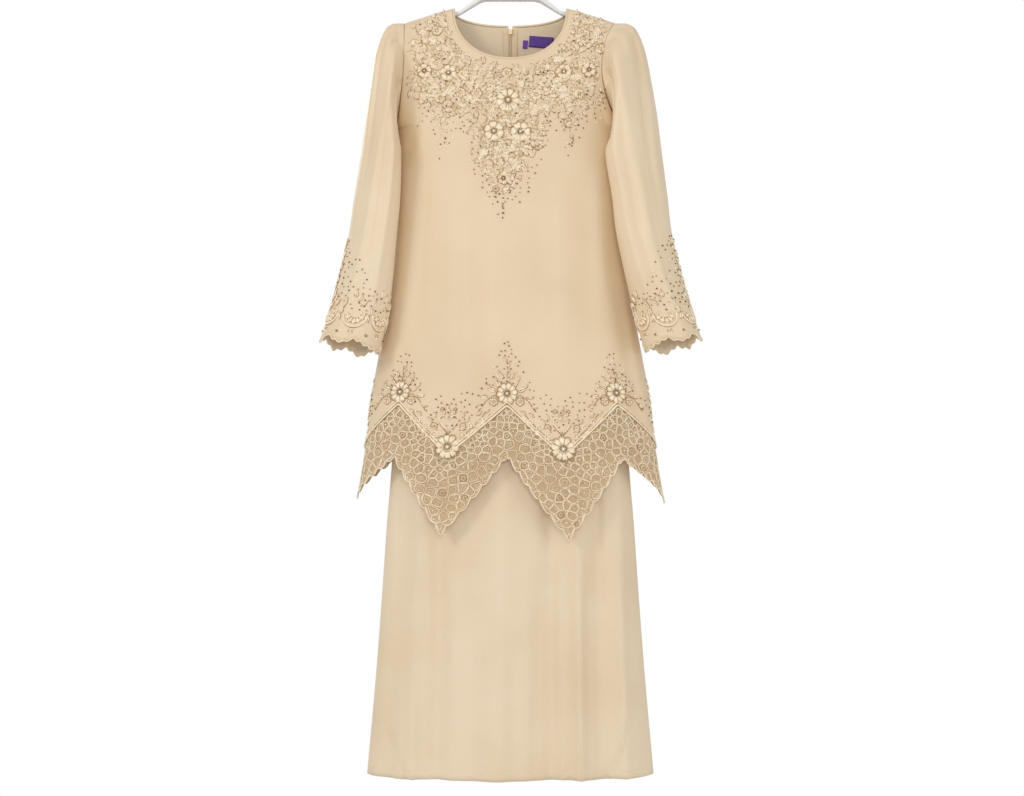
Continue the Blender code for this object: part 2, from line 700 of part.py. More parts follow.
def skirt_point(half, across, out, spot, depth):
    """A point on the outside of the skirt, with its folds."""
    sign = -1 if half == "front" else 1
    folds = SKIRT_FRONT_FOLDS if half == "front" else SKIRT_BACK_FOLDS
    growth = max(0.0, (depth - SKIRT_TOP) / (SKIRT_HEM - SKIRT_TOP)) ** FOLD_CURVE
    push = sum(fold.height * math.exp(-((spot - fold.place) / fold.width) ** 2)
               for fold in folds) * growth * min(1.0, out * 2)
    y = SKIRT_SEAM_Y + sign * (out * between(SKIRT, depth, half) + push + SEAM * (1 - out))
    return across * between(SKIRT, depth, "half_width"), y, depth


def build_skirt(satin, elastic, collection):
    """Front and back gores, and the waistband that they hang from."""
    places = [-1 + 2 * step / SKIRT_COLUMNS for step in range(SKIRT_COLUMNS + 1)]
    places[1:1] = [-SEAM_COLUMN]
    places[-1:-1] = [SEAM_COLUMN]
    angles = even_angles(places)
    for half in ("front", "back"):
        rows = []
        for number in range(SKIRT_ROWS + 1):
            depth = SKIRT_TOP + (SKIRT_HEM - SKIRT_TOP) * number / SKIRT_ROWS
            row = [skirt_point(half, *round_section(angle, between(SKIRT, depth, "power")),
                               spot, depth) for spot, angle in zip(places, angles)]
            rows.append(row if half == "front" else row[::-1])
        sheet("skirt_" + half, rows, CLOTH, satin, collection)
    rows = []
    for depth in (BAND_TOP, BAND_TOP + BAND_HEIGHT):
        row = []
        for half in ("front", "back"):
            ends = angles[:-1] if half == "front" else angles[:0:-1]
            for angle in ends:
                across, out = round_section(angle, between(SKIRT, depth, "power"))
                sign = -1 if half == "front" else 1
                row.append((across * between(SKIRT, depth, "half_width"),
                            SKIRT_SEAM_Y + sign * out * between(SKIRT, depth, half), depth))
        rows.append(row)
    sheet("skirt_waistband", rows, BAND, elastic, collection, closed=True)


def build_loops(ribbon, collection):
    """A ribbon from the waistband's front, over the hanger's arm, to its back."""
    top = along([(arm.x, arm.top) for arm in HANGER], LOOP_X) - 2 * LAYER_GAP - LOOP
    half_depth = along([(arm.x, arm.half_depth) for arm in HANGER], LOOP_X)
    across = LOOP_X / between(SKIRT, BAND_TOP, "half_width")
    out = (1 - across ** 2.2) ** (1 / 2.2)
    inset = BAND + LAYER_GAP
    front_y = SKIRT_SEAM_Y - out * between(SKIRT, BAND_TOP, "front") + inset + 2.5
    back_y = SKIRT_SEAM_Y + out * between(SKIRT, BAND_TOP, "back") - inset - 2.5
    side_y = half_depth + LAYER_GAP + LOOP + 0.5
    over = [(-side_y, 6.8), (-side_y + 0.3, 4.4), (-side_y + 1.6, 1.8), (-side_y / 2, 0.4),
            (0, 0), (side_y / 2, 0.4), (side_y - 1.6, 1.8), (side_y - 0.3, 4.4), (side_y, 6.8)]
    path = [(front_y, BAND_TOP + BAND_HEIGHT - 6), (front_y, BAND_TOP), (-side_y, 44)]
    path += [(y, top + drop) for y, drop in over]
    path += [(side_y, 44), (back_y, BAND_TOP), (back_y, BAND_TOP + BAND_HEIGHT - 6)]
    half = LOOP_WIDTH / 2
    tops = [(arm.x, arm.top) for arm in HANGER]
    tilt = along(tops, LOOP_X + half) - along(tops, LOOP_X)
    for side, sign in (("left", -1), ("right", 1)):
        rows = [[(sign * (LOOP_X - half), y, depth - (tilt if depth < 40 else 0)),
                 (sign * (LOOP_X + half), y, depth + (tilt if depth < 40 else 0))]
                for y, depth in path]
        sheet("skirt_loop_" + side, rows, LOOP, ribbon, collection, turned=side == "right")


def build_hanger(plastic, steel, collection):
    """A moulded body with two sloping arms, and a wire hook over the rail."""
    shape = bmesh.new()
    arms = [arm._replace(x=-arm.x) for arm in HANGER[:0:-1]] + list(HANGER)
    rings = []
    for arm in arms:
        middle, half = (arm.top + arm.bottom) / 2, (arm.bottom - arm.top) / 2
        ring = []
        for step in range(HANGER_SIDES):
            across, out = math.cos(2 * math.pi * step / HANGER_SIDES), \
                math.sin(2 * math.pi * step / HANGER_SIDES)
            y = math.copysign(abs(across) ** 0.8, across) * arm.half_depth
            depth = middle - math.copysign(abs(out) ** 0.8, out) * half
            ring.append(shape.verts.new(place(arm.x, y, depth)))
        rings.append(ring)
    for first, second in zip(rings, rings[1:]):
        for step in range(HANGER_SIDES):
            after = (step + 1) % HANGER_SIDES
            shape.faces.new([first[step], first[after], second[after], second[step]])
    shape.faces.new(rings[0][::-1])
    shape.faces.new(rings[-1])
    mesh = bpy.data.meshes.new("hanger_body")
    shape.to_mesh(mesh)
    shape.free()
    mesh.shade_smooth()
    add_object("hanger_body", mesh, plastic, collection)
    centre = -HOOK_RADIUS
    radius = HOOK_RADIUS + HOOK_WIRE
    bottom = -SHOULDER_DROP - HANGER[0].top + LAYER_GAP
    points = [Vector((0, 0, bottom)), Vector((0, 0, bottom + 12)), Vector((3, 0, bottom + 20))]
    for step in range(25):
        turn = math.radians(HOOK_START + (HOOK_END - HOOK_START) * step / 24)
        points.append(Vector((radius * math.cos(turn), 0, centre + radius * math.sin(turn))))
    wire("hanger_hook", [point * MM for point in points], HOOK_WIRE, steel, collection)


def main():
    collection = start()
    satin = material("cream_satin_crepe", (0.823, 0.652, 0.434), 0.45)
    lace = material("cream_corded_lace", (0.730, 0.584, 0.396), 0.7)
    tape = material("cream_zip_tape", (0.780, 0.620, 0.420), 0.7)
    nylon = material("cream_nylon_coil", (0.800, 0.660, 0.470), 0.4)
    metal = material("painted_zip_metal", (0.760, 0.620, 0.430), 0.35, 0.6)
    elastic = material("cream_elastic_casing", (0.790, 0.625, 0.420), 0.6)
    ribbon = material("cream_ribbon", (0.820, 0.660, 0.450), 0.4)
    plastic = material("white_hanger_plastic", (0.896, 0.888, 0.855), 0.35)
    steel = material("hanger_hook_steel", (0.600, 0.600, 0.590), 0.25, 1.0)
    build_tunic(satin, lace, collection)
    build_sleeves(satin, collection)
    build_neck(satin, collection)
    build_zip(tape, nylon, metal, collection)
    build_labels(collection)
    build_skirt(satin, elastic, collection)
    build_loops(ribbon, collection)
    build_hanger(plastic, steel, collection)


main()
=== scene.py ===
"""The looks of a baju kurung set on its hanger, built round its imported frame.

A long tunic with an embroidered yoke, a beaded zigzag hem and a border of corded lace,
two sleeves with scalloped cuffs, and a long skirt that hangs inside it. The front faces
-Y, +X is to the viewer's right and +Z is up. Sizes are in millimetres, and MM turns them
into metres. "depth" is how far a point lies below the neck end of the shoulder seams.
"""

import math
import random
from collections import namedtuple

import bmesh
import bpy
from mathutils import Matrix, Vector, geometry


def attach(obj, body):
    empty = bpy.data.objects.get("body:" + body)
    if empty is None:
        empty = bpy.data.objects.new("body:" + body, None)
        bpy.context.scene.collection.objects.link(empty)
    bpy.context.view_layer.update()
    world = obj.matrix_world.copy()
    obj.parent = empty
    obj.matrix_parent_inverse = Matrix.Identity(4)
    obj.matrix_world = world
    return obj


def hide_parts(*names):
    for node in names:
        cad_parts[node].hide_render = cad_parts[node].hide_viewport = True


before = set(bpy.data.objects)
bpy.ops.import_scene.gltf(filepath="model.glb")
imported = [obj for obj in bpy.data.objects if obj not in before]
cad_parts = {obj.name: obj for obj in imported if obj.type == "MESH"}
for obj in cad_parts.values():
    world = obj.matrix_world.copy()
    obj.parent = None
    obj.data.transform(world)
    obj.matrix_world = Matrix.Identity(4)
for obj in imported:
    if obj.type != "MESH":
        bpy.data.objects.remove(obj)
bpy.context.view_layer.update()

MM = 0.001
SHOULDER_DROP = 105.0           # from the inside top of the hook down to depth 0

# Cloth walls and the gaps between pieces.
CLOTH = 1.2                     # satin crepe, with its turned edges
SEAM = 0.3                      # half the gap at a curved seam
SHOULDER_SEAM = 0.45            # half the gap along the curved top of the shoulders
FLAT_SEAM = 0.15                # half the gap at a flat seam
LAYER_GAP = 0.3                 # between a piece and the one that it lies on

SIGN = {"front": -1, "back": 1, "left": -1, "right": 1}     # y outwards, x outwards


def table(kind, *rows):
    """Rows of numbers as rows with named columns."""
    return tuple(kind(*row) for row in rows)


# Neck and shoulders.
NECK_HALF = 104.0               # cut edge of the neck, half its width
NECK_FRONT = 96.0               # cut edge, depth at the centre front
NECK_BACK = 29.0                # cut edge, depth at the centre back
NECK_POWER = 2.2                # roundness of the neck's curve
SHOULDER_END = 190.0            # armhole end of the shoulder seam
SHOULDER_FALL = 26.0            # how far the shoulder seam falls to that end
SHOULDER_SWELL = 15.0           # cloth lies this far from the seam over the hanger
SWELL_LENGTH = 5.0
SHOULDER_CURVE = 1.1            # the shoulder seam falls faster towards its end
DROP_CURVE = 0.9                # the centre comes forward fastest just below the neck
NECK_CURVE = 1.3                # columns lie closer together towards the neck's corner

# Armholes: an upright loop from the shoulder seam's end to the armpit.
ARMPIT = 204.0
ARMPIT_DEPTH = 215.0
SIDE_SEAM_Y = 15.0
ARMHOLE_REACH = {"front": 45.0, "back": 30.0}
REACH_CURVE = 1.15              # how pointed the armhole is, seen from its side
ARMHOLE_BOW = {("left", "front"): 6.0, ("left", "back"): 8.0,
               ("right", "front"): 34.0, ("right", "back"): 8.0}

# The tunic's sections below the armpits, and the skirt's.
Section = namedtuple("Section", "depth half_width front back power")
TUNIC = table(Section,
    (215, 204, 76, 40, 2.4),
    (262, 203, 79, 44, 2.4),
    (342, 204, 81, 48, 2.4),
    (414, 208, 80, 50, 2.4),
    (504, 217, 80, 52, 2.4),
    (576, 229, 82, 55, 2.4),
    (630, 239, 85, 58, 2.4),
    (702, 252, 88, 62, 2.4),
    (774, 260, 91, 66, 2.4),
    (846, 271, 95, 70, 2.4),
    (960, 292, 100, 76, 2.4),
)
SKIRT_SEAM_Y = 5.0
SKIRT = table(Section,
    (418, 180, 40, 32, 2.2),
    (560, 194, 48, 40, 2.2),
    (700, 205, 53, 46, 2.2),
    (850, 216, 60, 52, 2.3),
    (920, 222, 64, 55, 2.3),
    (1064, 232, 70, 62, 2.3),
    (1208, 243, 77, 69, 2.3),
    (1352, 256, 84, 76, 2.3),
    (1400, 260, 86, 78, 2.3),
)
TYPICAL = Section(774, 260, 91, 66, 2.4)    # spaces the columns of points evenly

# The zigzag hem. "place" runs from -1 at the left side seam, 0 at the centre, to 1 at
# the right side seam; "cloth" and "lace" are the depths of the two lower edges.
HemPoint = namedtuple("HemPoint", "place cloth lace")
FRONT_HEM = table(HemPoint,
    (-1.00, 792, 882),
    (-0.69, 710, 806),
    (-0.37, 801, 940),
    (-0.02, 713, 804),
    (0.31, 805, 950),
    (0.66, 712, 809),
    (1.00, 792, 890),
)
BACK_HEM = table(HemPoint,
    (-1.00, 792, 882),
    (-0.67, 712, 806),
    (-0.34, 803, 944),
    (0.00, 712, 806),
    (0.34, 803, 944),
    (0.67, 712, 806),
    (1.00, 792, 890),
)
COLUMNS_PER_POINT = 18
LACE_TUCK = 10.0                # the lace reaches this far up behind the cloth
NECK_SHARE = 2 / 3              # the neck takes this share of a panel's columns
YOKE_ROWS = 34
ROWS_CLOSE_UP = 1.1             # rows lie closer together towards the shoulders
BODY_ROWS = 66
ROWS_SPREAD = 0.9               # and a little farther apart below the armpits
LACE_ROWS = 10

# Soft folds of the skirt, as ridges (+) and troughs (-) that grow towards the hem.
Fold = namedtuple("Fold", "place width height")
SKIRT_FRONT_FOLDS = table(Fold,
    (-0.74, 0.07, -5), (-0.62, 0.09, 7), (-0.48, 0.09, -8),
    (-0.08, 0.16, 7), (0.31, 0.12, -10), (0.47, 0.08, 6),
    (0.60, 0.07, -6), (0.76, 0.09, 6),
)
SKIRT_BACK_FOLDS = table(Fold,
    (-0.66, 0.09, 6), (-0.42, 0.11, -8), (-0.12, 0.14, 7),
    (0.22, 0.11, -7), (0.45, 0.10, 7), (0.68, 0.09, -6),
)
SKIRT_TOP = 453.5
SKIRT_HEM = 1374.0
SKIRT_COLUMNS = 96
SEAM_COLUMN = 0.985             # a column close to each side seam keeps the edge square
SKIRT_ROWS = 84
FOLD_CURVE = 0.8                # the folds grow fastest near the top
BAND_TOP = 418.0
BAND_HEIGHT = 35.0
BAND = 2.0                      # elastic in its casing

# Sleeves: rings from the armhole to the cuff, each through its outer, front, inner and
# back points. x is away from the middle of the body, and the front and back points lie
# half way in depth between the outer and the inner one, lowered by "front_drop" or so.
Ring = namedtuple("Ring", "outer outer_y outer_depth front front_y inner inner_y "
                          "inner_depth back back_y front_drop back_drop")
SLEEVE = {
    "left": table(Ring,
        (202, -2, 26.5, 196, -43, 206.5, 14, 218, 197, 41, 0, 0),
        (213, -4, 28.5, 200, -52, 207.5, 12, 221, 205, 45, 0, 0),
        (227, -8, 41, 203, -63, 208.0, 8, 225, 215, 47, 0, 0),
        (240, -12, 78, 206, -74, 207.0, 2, 231, 226, 45, 0, 0),
        (249, -18, 135, 209, -82, 203.5, -8, 239, 236, 41, 0, 0),
        (257, -23, 195, 212, -85, 199.5, -18, 250, 242, 37, 0, 0),
        (265, -27, 262, 214, -87, 197.0, -27, 270, 247, 33, 0, 0),
        (278, -28, 342, 223, -86, 198.0, -28, 345, 252, 30, 0, 0),
        (289, -29, 414, 234, -86, 204.0, -29, 416, 259, 28, 0, 0),
        (315, -32, 522, 255, -85, 214.0, -32, 526, 274, 21, 0, 2),
        (337, -36, 590, 277, -85, 230.5, -36, 612, 291, 14, -4, 12),
    ),
    "right": table(Ring,
        (202, -2, 26.5, 169, -44, 206.5, 14, 218, 197, 41, 0, 0),
        (213, -5, 28.5, 174, -55, 208.0, 12, 221, 204, 43, 0, 0),
        (227, -9, 41, 178, -68, 209.0, 8, 225, 214, 42, 0, 0),
        (240, -15, 78, 182, -80, 207.5, 0, 231, 226, 36, 0, 0),
        (249, -24, 135, 185, -90, 201.0, -14, 239, 237, 27, 0, 0),
        (257, -34, 195, 188, -93, 189.0, -30, 250, 243, 16, 0, 0),
        (263, -44, 262, 190, -94, 176.5, -44, 270, 248, 6, 0, 0),
        (275, -43, 342, 205, -94, 186.0, -43, 345, 256, 8, 0, 0),
        (286, -42, 414, 218, -95, 193.0, -42, 416, 261, 11, 0, 0),
        (315, -42, 522, 251, -94, 215.0, -42, 526, 279, 10, 0, 2),
        (338, -42, 588, 278, -91, 236.0, -42, 608, 296, 7, -3, 12),
    ),
}
SLEEVE_SIDES = 96
SLEEVE_STEPS = 9                # rows from one ring to the next

# Neck binding, a rolled bias strip.
BINDING = 2.0                   # radius
BINDING_GAP = 0.6

# Centre-back zip, concealed: its coil and tapes lie inside the cloth.
ZIP_TOP = 33.0
ZIP_END = 490.0                 # the last row of the panel above this depth
NOTCH_HALF = 3.6                # the panels part by this much at the top of the zip
NOTCH_DEPTH = 16.0
COIL_HALF = 2.0
COIL = 1.6
TAPE_INNER, TAPE_OUTER = 2.4, 13.0
TAPE = 1.0
SLIDER_LENGTH = 9.0

# Labels sewn inside the back neck: across, depth, width, height, turn.
Label = namedtuple("Label", "name centre depth width height turn")
LABELS = (
    Label("neck_label", 56, 55, 44, 20, -4),
    Label("size_tab", 27, 59, 9, 15, -4),
)

# The hanger: sections from the middle out along one arm.
Arm = namedtuple("Arm", "x top bottom half_depth")
HANGER = table(Arm,
    (0, -27, -14, 12.5),
    (44, -27, -14, 12.5),
    (54, -24.5, -11, 12.0),
    (90, 3.0, 11, 6.0),
    (106, 7.0, 16, 6.5),
    (170, 25.5, 36, 8.0),
    (180, 31.0, 35, 5.0),
)

# Ribbon loops that hang the skirt's waistband from the hanger's arms.
LOOP_X = 150.0
LOOP_WIDTH = 6.0
LOOP = 1.0


def place(x, y, depth):
    """A point in metres, from x, y and a depth below the neck's shoulder points."""
    return Vector((x, y, -SHOULDER_DROP - depth)) * MM


def between(table, depth, column):
    """A column of a table of sections, read smoothly at a depth."""
    rows = [(row.depth, getattr(row, column)) for row in table]
    if depth <= rows[0][0]:
        return rows[0][1]
    for index in range(len(rows) - 1):
        (low, first), (high, second) = rows[index], rows[index + 1]
        if depth <= high:
            before = rows[max(index - 1, 0)]
            after = rows[min(index + 2, len(rows) - 1)]
            step = high - low
            rise_in = (second - before[1]) / (high - before[0]) * step
            rise_out = (after[1] - first) / (after[0] - low) * step
            t = (depth - low) / step
            return ((2 * t ** 3 - 3 * t ** 2 + 1) * first + (t ** 3 - 2 * t ** 2 + t) * rise_in
                    + (3 * t ** 2 - 2 * t ** 3) * second + (t ** 3 - t ** 2) * rise_out)
    return rows[-1][1]


def spread(limit, steps):
    """Even steps from -limit to limit."""
    return [-limit + 2 * limit * step / steps for step in range(steps + 1)]


def along(points, t):
    """Straight reading of (place, value) pairs at t."""
    for (low, first), (high, second) in zip(points, points[1:]):
        if t <= high:
            return first + (second - first) * (t - low) / (high - low)
    return points[-1][1]


def round_section(angle, power):
    """Across (-1 to 1) and outwards (0 to 1) on a rounded half section."""
    across = math.copysign(abs(math.sin(angle)) ** (2 / power), angle)
    return across, abs(math.cos(angle)) ** (2 / power)


def even_angles(places):
    """Angles whose points are spaced along a typical half section like the places."""
    steps = 360
    angles = [-math.pi / 2 + math.pi * step / steps for step in range(steps + 1)]
    walk = [0.0]
    last = None
    for angle in angles:
        across, out = round_section(angle, TYPICAL.power)
        point = Vector((across * TYPICAL.half_width, out * TYPICAL.front))
        if last is not None:
            walk.append(walk[-1] + (point - last).length)
        last = point
    pairs = [(2 * length / walk[-1] - 1, angle) for length, angle in zip(walk, angles)]
    return [along(pairs, spot) for spot in places]


def shoulder_line(x):
    """Depth of the shoulder seam, level across the neck."""
    return SHOULDER_FALL * max(0.0, (abs(x) - NECK_HALF) / (SHOULDER_END - NECK_HALF)) ** SHOULDER_CURVE


def armhole(side, half, turn):
    """A point of an armhole: turn 0 at the shoulder seam, pi at the armpit."""
    cosine, sine = math.cos(turn), max(0.0, math.sin(turn))
    x = (SHOULDER_END + ARMPIT) / 2 - cosine * (ARMPIT - SHOULDER_END) / 2
    front, back = ARMHOLE_BOW[side, "front"], ARMHOLE_BOW[side, "back"]
    lean = (front - back) / 2 * sine
    x -= (front + back) / 2 * sine ** 2 + (lean if half == "front" else -lean)
    depth = (SHOULDER_FALL + ARMPIT_DEPTH) / 2 - cosine * (ARMPIT_DEPTH - SHOULDER_FALL) / 2
    reach = ARMHOLE_REACH[half] * sine ** REACH_CURVE
    y = SIDE_SEAM_Y * (1 - cosine) / 2 + (-reach if half == "front" else reach)
    return x, y, depth


def armhole_turn(depth):
    """The turn of the armhole's point at a depth."""
    cosine = 1 - 2 * (depth - SHOULDER_FALL) / (ARMPIT_DEPTH - SHOULDER_FALL)
    return math.acos(max(-1.0, min(1.0, cosine)))


def edge_and_bow(half, side, depth):
    """The unbowed half width above the armpit, and how far the armhole bows in."""
    turn = armhole_turn(depth)
    straight = (SHOULDER_END + ARMPIT) / 2 - math.cos(turn) * (ARMPIT - SHOULDER_END) / 2
    return straight, straight - armhole(side, half, turn)[0]


def across_at(half, x, depth):
    """How far across its half the panel's point at x lies, 0 at the middle to 1."""
    if depth >= ARMPIT_DEPTH:
        return x / between(TUNIC, depth, "half_width")
    straight, bow = edge_and_bow(half, "left" if x < 0 else "right", depth)
    across = x / straight
    for _ in range(12):
        across = (x + bow * across ** 3) / straight
    return across


def body_point(half, across, out, depth):
    """A point on the outside of the tunic: across -1 to 1, out 0 at its sides."""
    side = "left" if across < 0 else "right"
    sign = SIGN[half]
    if depth >= ARMPIT_DEPTH:
        half_width = between(TUNIC, depth, "half_width")
        y = SIDE_SEAM_Y + sign * out * between(TUNIC, depth, half)
        return across * half_width, y + sign * SEAM * (1 - out), depth
    straight, bow = edge_and_bow(half, side, depth)
    edge_y = armhole(side, half, armhole_turn(depth))[1]
    x = across * straight - bow * across ** 3
    below = max(0.0, depth - shoulder_line(x))
    share = below / (ARMPIT_DEPTH - shoulder_line(x))
    swell = SHOULDER_SWELL * math.sqrt(1 - math.exp(-below / SWELL_LENGTH))
    middle = abs(SIDE_SEAM_Y + sign * between(TUNIC, ARMPIT_DEPTH, half))
    centre_y = sign * (swell + (middle - SHOULDER_SWELL) * share ** DROP_CURVE)
    return x, edge_y + (centre_y - edge_y) * out + sign * SHOULDER_SEAM, depth


def neck_edge(half, share):
    """The cut neck: share 0 at the centre, 1 at the shoulder seam, closer towards it."""
    turn = math.pi / 2 * (1 - (1 - share) ** NECK_CURVE)
    drop = NECK_FRONT if half == "front" else NECK_BACK
    x = NECK_HALF * abs(math.sin(turn)) ** (2 / NECK_POWER)
    return x, drop * abs(math.cos(turn)) ** (2 / NECK_POWER)


def top_edge(half, share):
    """Across and depth of the top edge: share 0 at the centre, 1 at the armhole."""
    if share <= NECK_SHARE:
        return neck_edge(half, share / NECK_SHARE)
    x = NECK_HALF + (SHOULDER_END - NECK_HALF) * (share - NECK_SHARE) / (1 - NECK_SHARE)
    return x, shoulder_line(x)


def surface(half, x, depth):
    """The outside of the tunic at x and a depth."""
    across = across_at(half, x, depth)
    power = between(TUNIC, depth, "power")
    out = max(0.0, 1 - abs(across) ** power) ** (1 / power)
    return body_point(half, across, out, depth)


def panel_rows(half, places, hem):
    """Rows of points on a tunic panel, from its top edge down to its hem."""
    turns = [math.pi * (row / YOKE_ROWS) ** ROWS_CLOSE_UP for row in range(YOKE_ROWS + 1)]
    angles = even_angles(places)
    rows = []
    for turn in turns:
        row = []
        for index, angle in enumerate(angles):
            top_spot = 2 * index / (len(places) - 1) - 1
            neckward = min(1.0, 2.0 * max(0.0, 1 - abs(top_spot) / NECK_SHARE))
            share = (1 - math.cos(turn)) / 2 * (1 - neckward) + turn / math.pi * neckward
            across, out = round_section(angle, TYPICAL.power)
            top_x, top_depth = top_edge(half, abs(top_spot))
            start = across_at(half, math.copysign(top_x, top_spot), top_depth)
            shoulderward = max(0.0, (abs(top_spot) - NECK_SHARE) / (1 - NECK_SHARE))
            across = start + (across - start) * share ** (0.5 + 0.5 * shoulderward)
            x = across * (SHOULDER_END + (ARMPIT - SHOULDER_END) * share)
            fall = max(0.0, shoulder_line(x) - shoulder_line(top_x))
            depth = top_depth + fall * (1 - share) + (ARMPIT_DEPTH - top_depth) * share
            out = max(0.0, 1 - abs(across) ** TYPICAL.power) ** (1 / TYPICAL.power)
            row.append(body_point(half, across, out, depth))
        rows.append(row)
    for number in range(1, BODY_ROWS + 1):
        share = number / BODY_ROWS
        row = []
        for angle, edge in zip(angles, hem):
            across, out = round_section(angle, TYPICAL.power)
            depth = ARMPIT_DEPTH + (edge - ARMPIT_DEPTH) * share ** ROWS_SPREAD
            row.append(body_point(half, across, out, depth))
        rows.append(row)
    return rows


def hem_places(hem):
    """Places of the columns, the same number between each pair of hem points."""
    places = []
    for first, second in zip(hem, hem[1:]):
        for step in range(COLUMNS_PER_POINT):
            places.append(first.place + (second.place - first.place) * step / COLUMNS_PER_POINT)
    return places + [hem[-1].place]


def hem_line(hem, places, column):
    """Depths of one lower edge at the places."""
    pairs = [(row.place, getattr(row, column)) for row in hem]
    return [along(pairs, spot) for spot in places]


def ring_point(outer, front, inner, back, turn):
    """A point on the smooth ring through four points, turn 0 at the outer one."""
    ends, sides = (outer + inner) / 2, (front + back) / 2
    return ((ends + sides) / 2 + math.cos(turn) * (outer - inner) / 2
            + math.sin(turn) * (front - back) / 2 + math.cos(2 * turn) * (ends - sides) / 2)


def skirt_point(half, across, out, spot, depth):
    """A point on the outside of the skirt, with its folds."""
    sign = SIGN[half]
    folds = SKIRT_FRONT_FOLDS if half == "front" else SKIRT_BACK_FOLDS
    growth = max(0.0, (depth - SKIRT_TOP) / (SKIRT_HEM - SKIRT_TOP)) ** FOLD_CURVE
    push = sum(fold.height * math.exp(-((spot - fold.place) / fold.width) ** 2)
               for fold in folds) * growth * min(1.0, out * 2)
    y = SKIRT_SEAM_Y + sign * (out * between(SKIRT, depth, half) + push + SEAM * (1 - out))
    return across * between(SKIRT, depth, "half_width"), y, depth


# Creases of the tunic: x at the top end, its lean, and how wide and high the
# ridge (+) or trough (-) stands. Each one fades out towards both of its ends.
Crease = namedtuple("Crease", "x lean top bottom width height")
TUNIC_CREASES = {
    "front": table(Crease,
        (-71, -0.01, 250, 760, 17, -3.2), (-104, -0.02, 235, 700, 20, 2.4),
        (-36, 0.00, 330, 740, 22, 1.6), (12, 0.00, 420, 700, 24, -1.4),
        (84, 0.03, 240, 720, 24, 2.8), (122, 0.06, 260, 690, 18, -2.6),
        (52, 0.01, 300, 640, 16, -1.5), (-148, -0.05, 230, 640, 14, -2.8),
        (152, 0.05, 220, 560, 13, 2.4), (-176, -0.12, 330, 800, 16, 2.6),
        (178, 0.16, 420, 850, 15, -3.4), (204, 0.20, 520, 860, 12, 2.8),
        (-128, -0.5, 150, 300, 10, -2.2), (140, 0.5, 150, 290, 10, -2.0),
    ),
    "back": table(Crease,
        (-64, -0.02, 240, 720, 20, -3.0), (-108, -0.05, 220, 760, 18, 3.0),
        (58, 0.02, 300, 780, 22, 2.8), (104, 0.05, 210, 640, 16, -3.0),
        (146, 0.08, 260, 800, 18, 2.6), (-150, -0.08, 300, 820, 16, -2.8),
        (-20, 0.00, 500, 740, 26, -1.6), (34, 0.3, 60, 190, 12, -1.8),
        (-40, -0.35, 55, 180, 11, -1.6),
    ),
}
# Creases of the skirt, finer than its folds: the same terms, place in millimetres.
SKIRT_CREASES = {
    "front": table(Crease,
        (-127, 0.00, 640, 1374, 12, -2.0), (75, -0.01, 600, 1374, 15, -2.4),
        (154, 0.00, 640, 1374, 9, -1.8), (-192, 0.00, 660, 1374, 9, -1.8),
        (-163, 0.00, 640, 1374, 11, 1.4), (-19, 0.00, 700, 1374, 26, 1.4),
        (125, 0.00, 640, 1374, 12, 1.6), (198, 0.00, 660, 1374, 12, 1.5),
        (-158, -0.01, 960, 1374, 9, -2.6), (-188, -0.02, 900, 1374, 10, 2.4),
        (-104, 0.02, 980, 1340, 11, 1.8), (-64, 0.00, 1000, 1374, 16, -1.6),
        (4, 0.00, 1120, 1374, 14, -1.6), (52, -0.02, 950, 1374, 10, -1.6),
        (84, 0.02, 930, 1374, 8, 2.2), (118, 0.02, 1000, 1374, 9, 2.4),
        (136, 0.00, 940, 1374, 8, -2.4), (196, 0.03, 960, 1374, 9, 2.0),
        (-228, 0.45, 1270, 1380, 6, -2.4), (-214, 0.5, 1300, 1385, 5, 1.8),
        (226, -0.45, 1250, 1380, 6, -2.4), (214, -0.5, 1290, 1385, 5, 1.8),
    ),
    "back": table(Crease,
        (-170, -0.02, 960, 1374, 10, -2.6), (-96, 0.00, 900, 1374, 12, 2.2),
        (-30, 0.01, 1010, 1374, 11, -2.0), (20, 0.00, 1150, 1374, 14, 1.8),
        (88, 0.02, 980, 1374, 10, -2.8), (150, 0.02, 940, 1374, 9, 2.2),
        (196, 0.00, 1050, 1374, 10, -2.2),
    ),
}
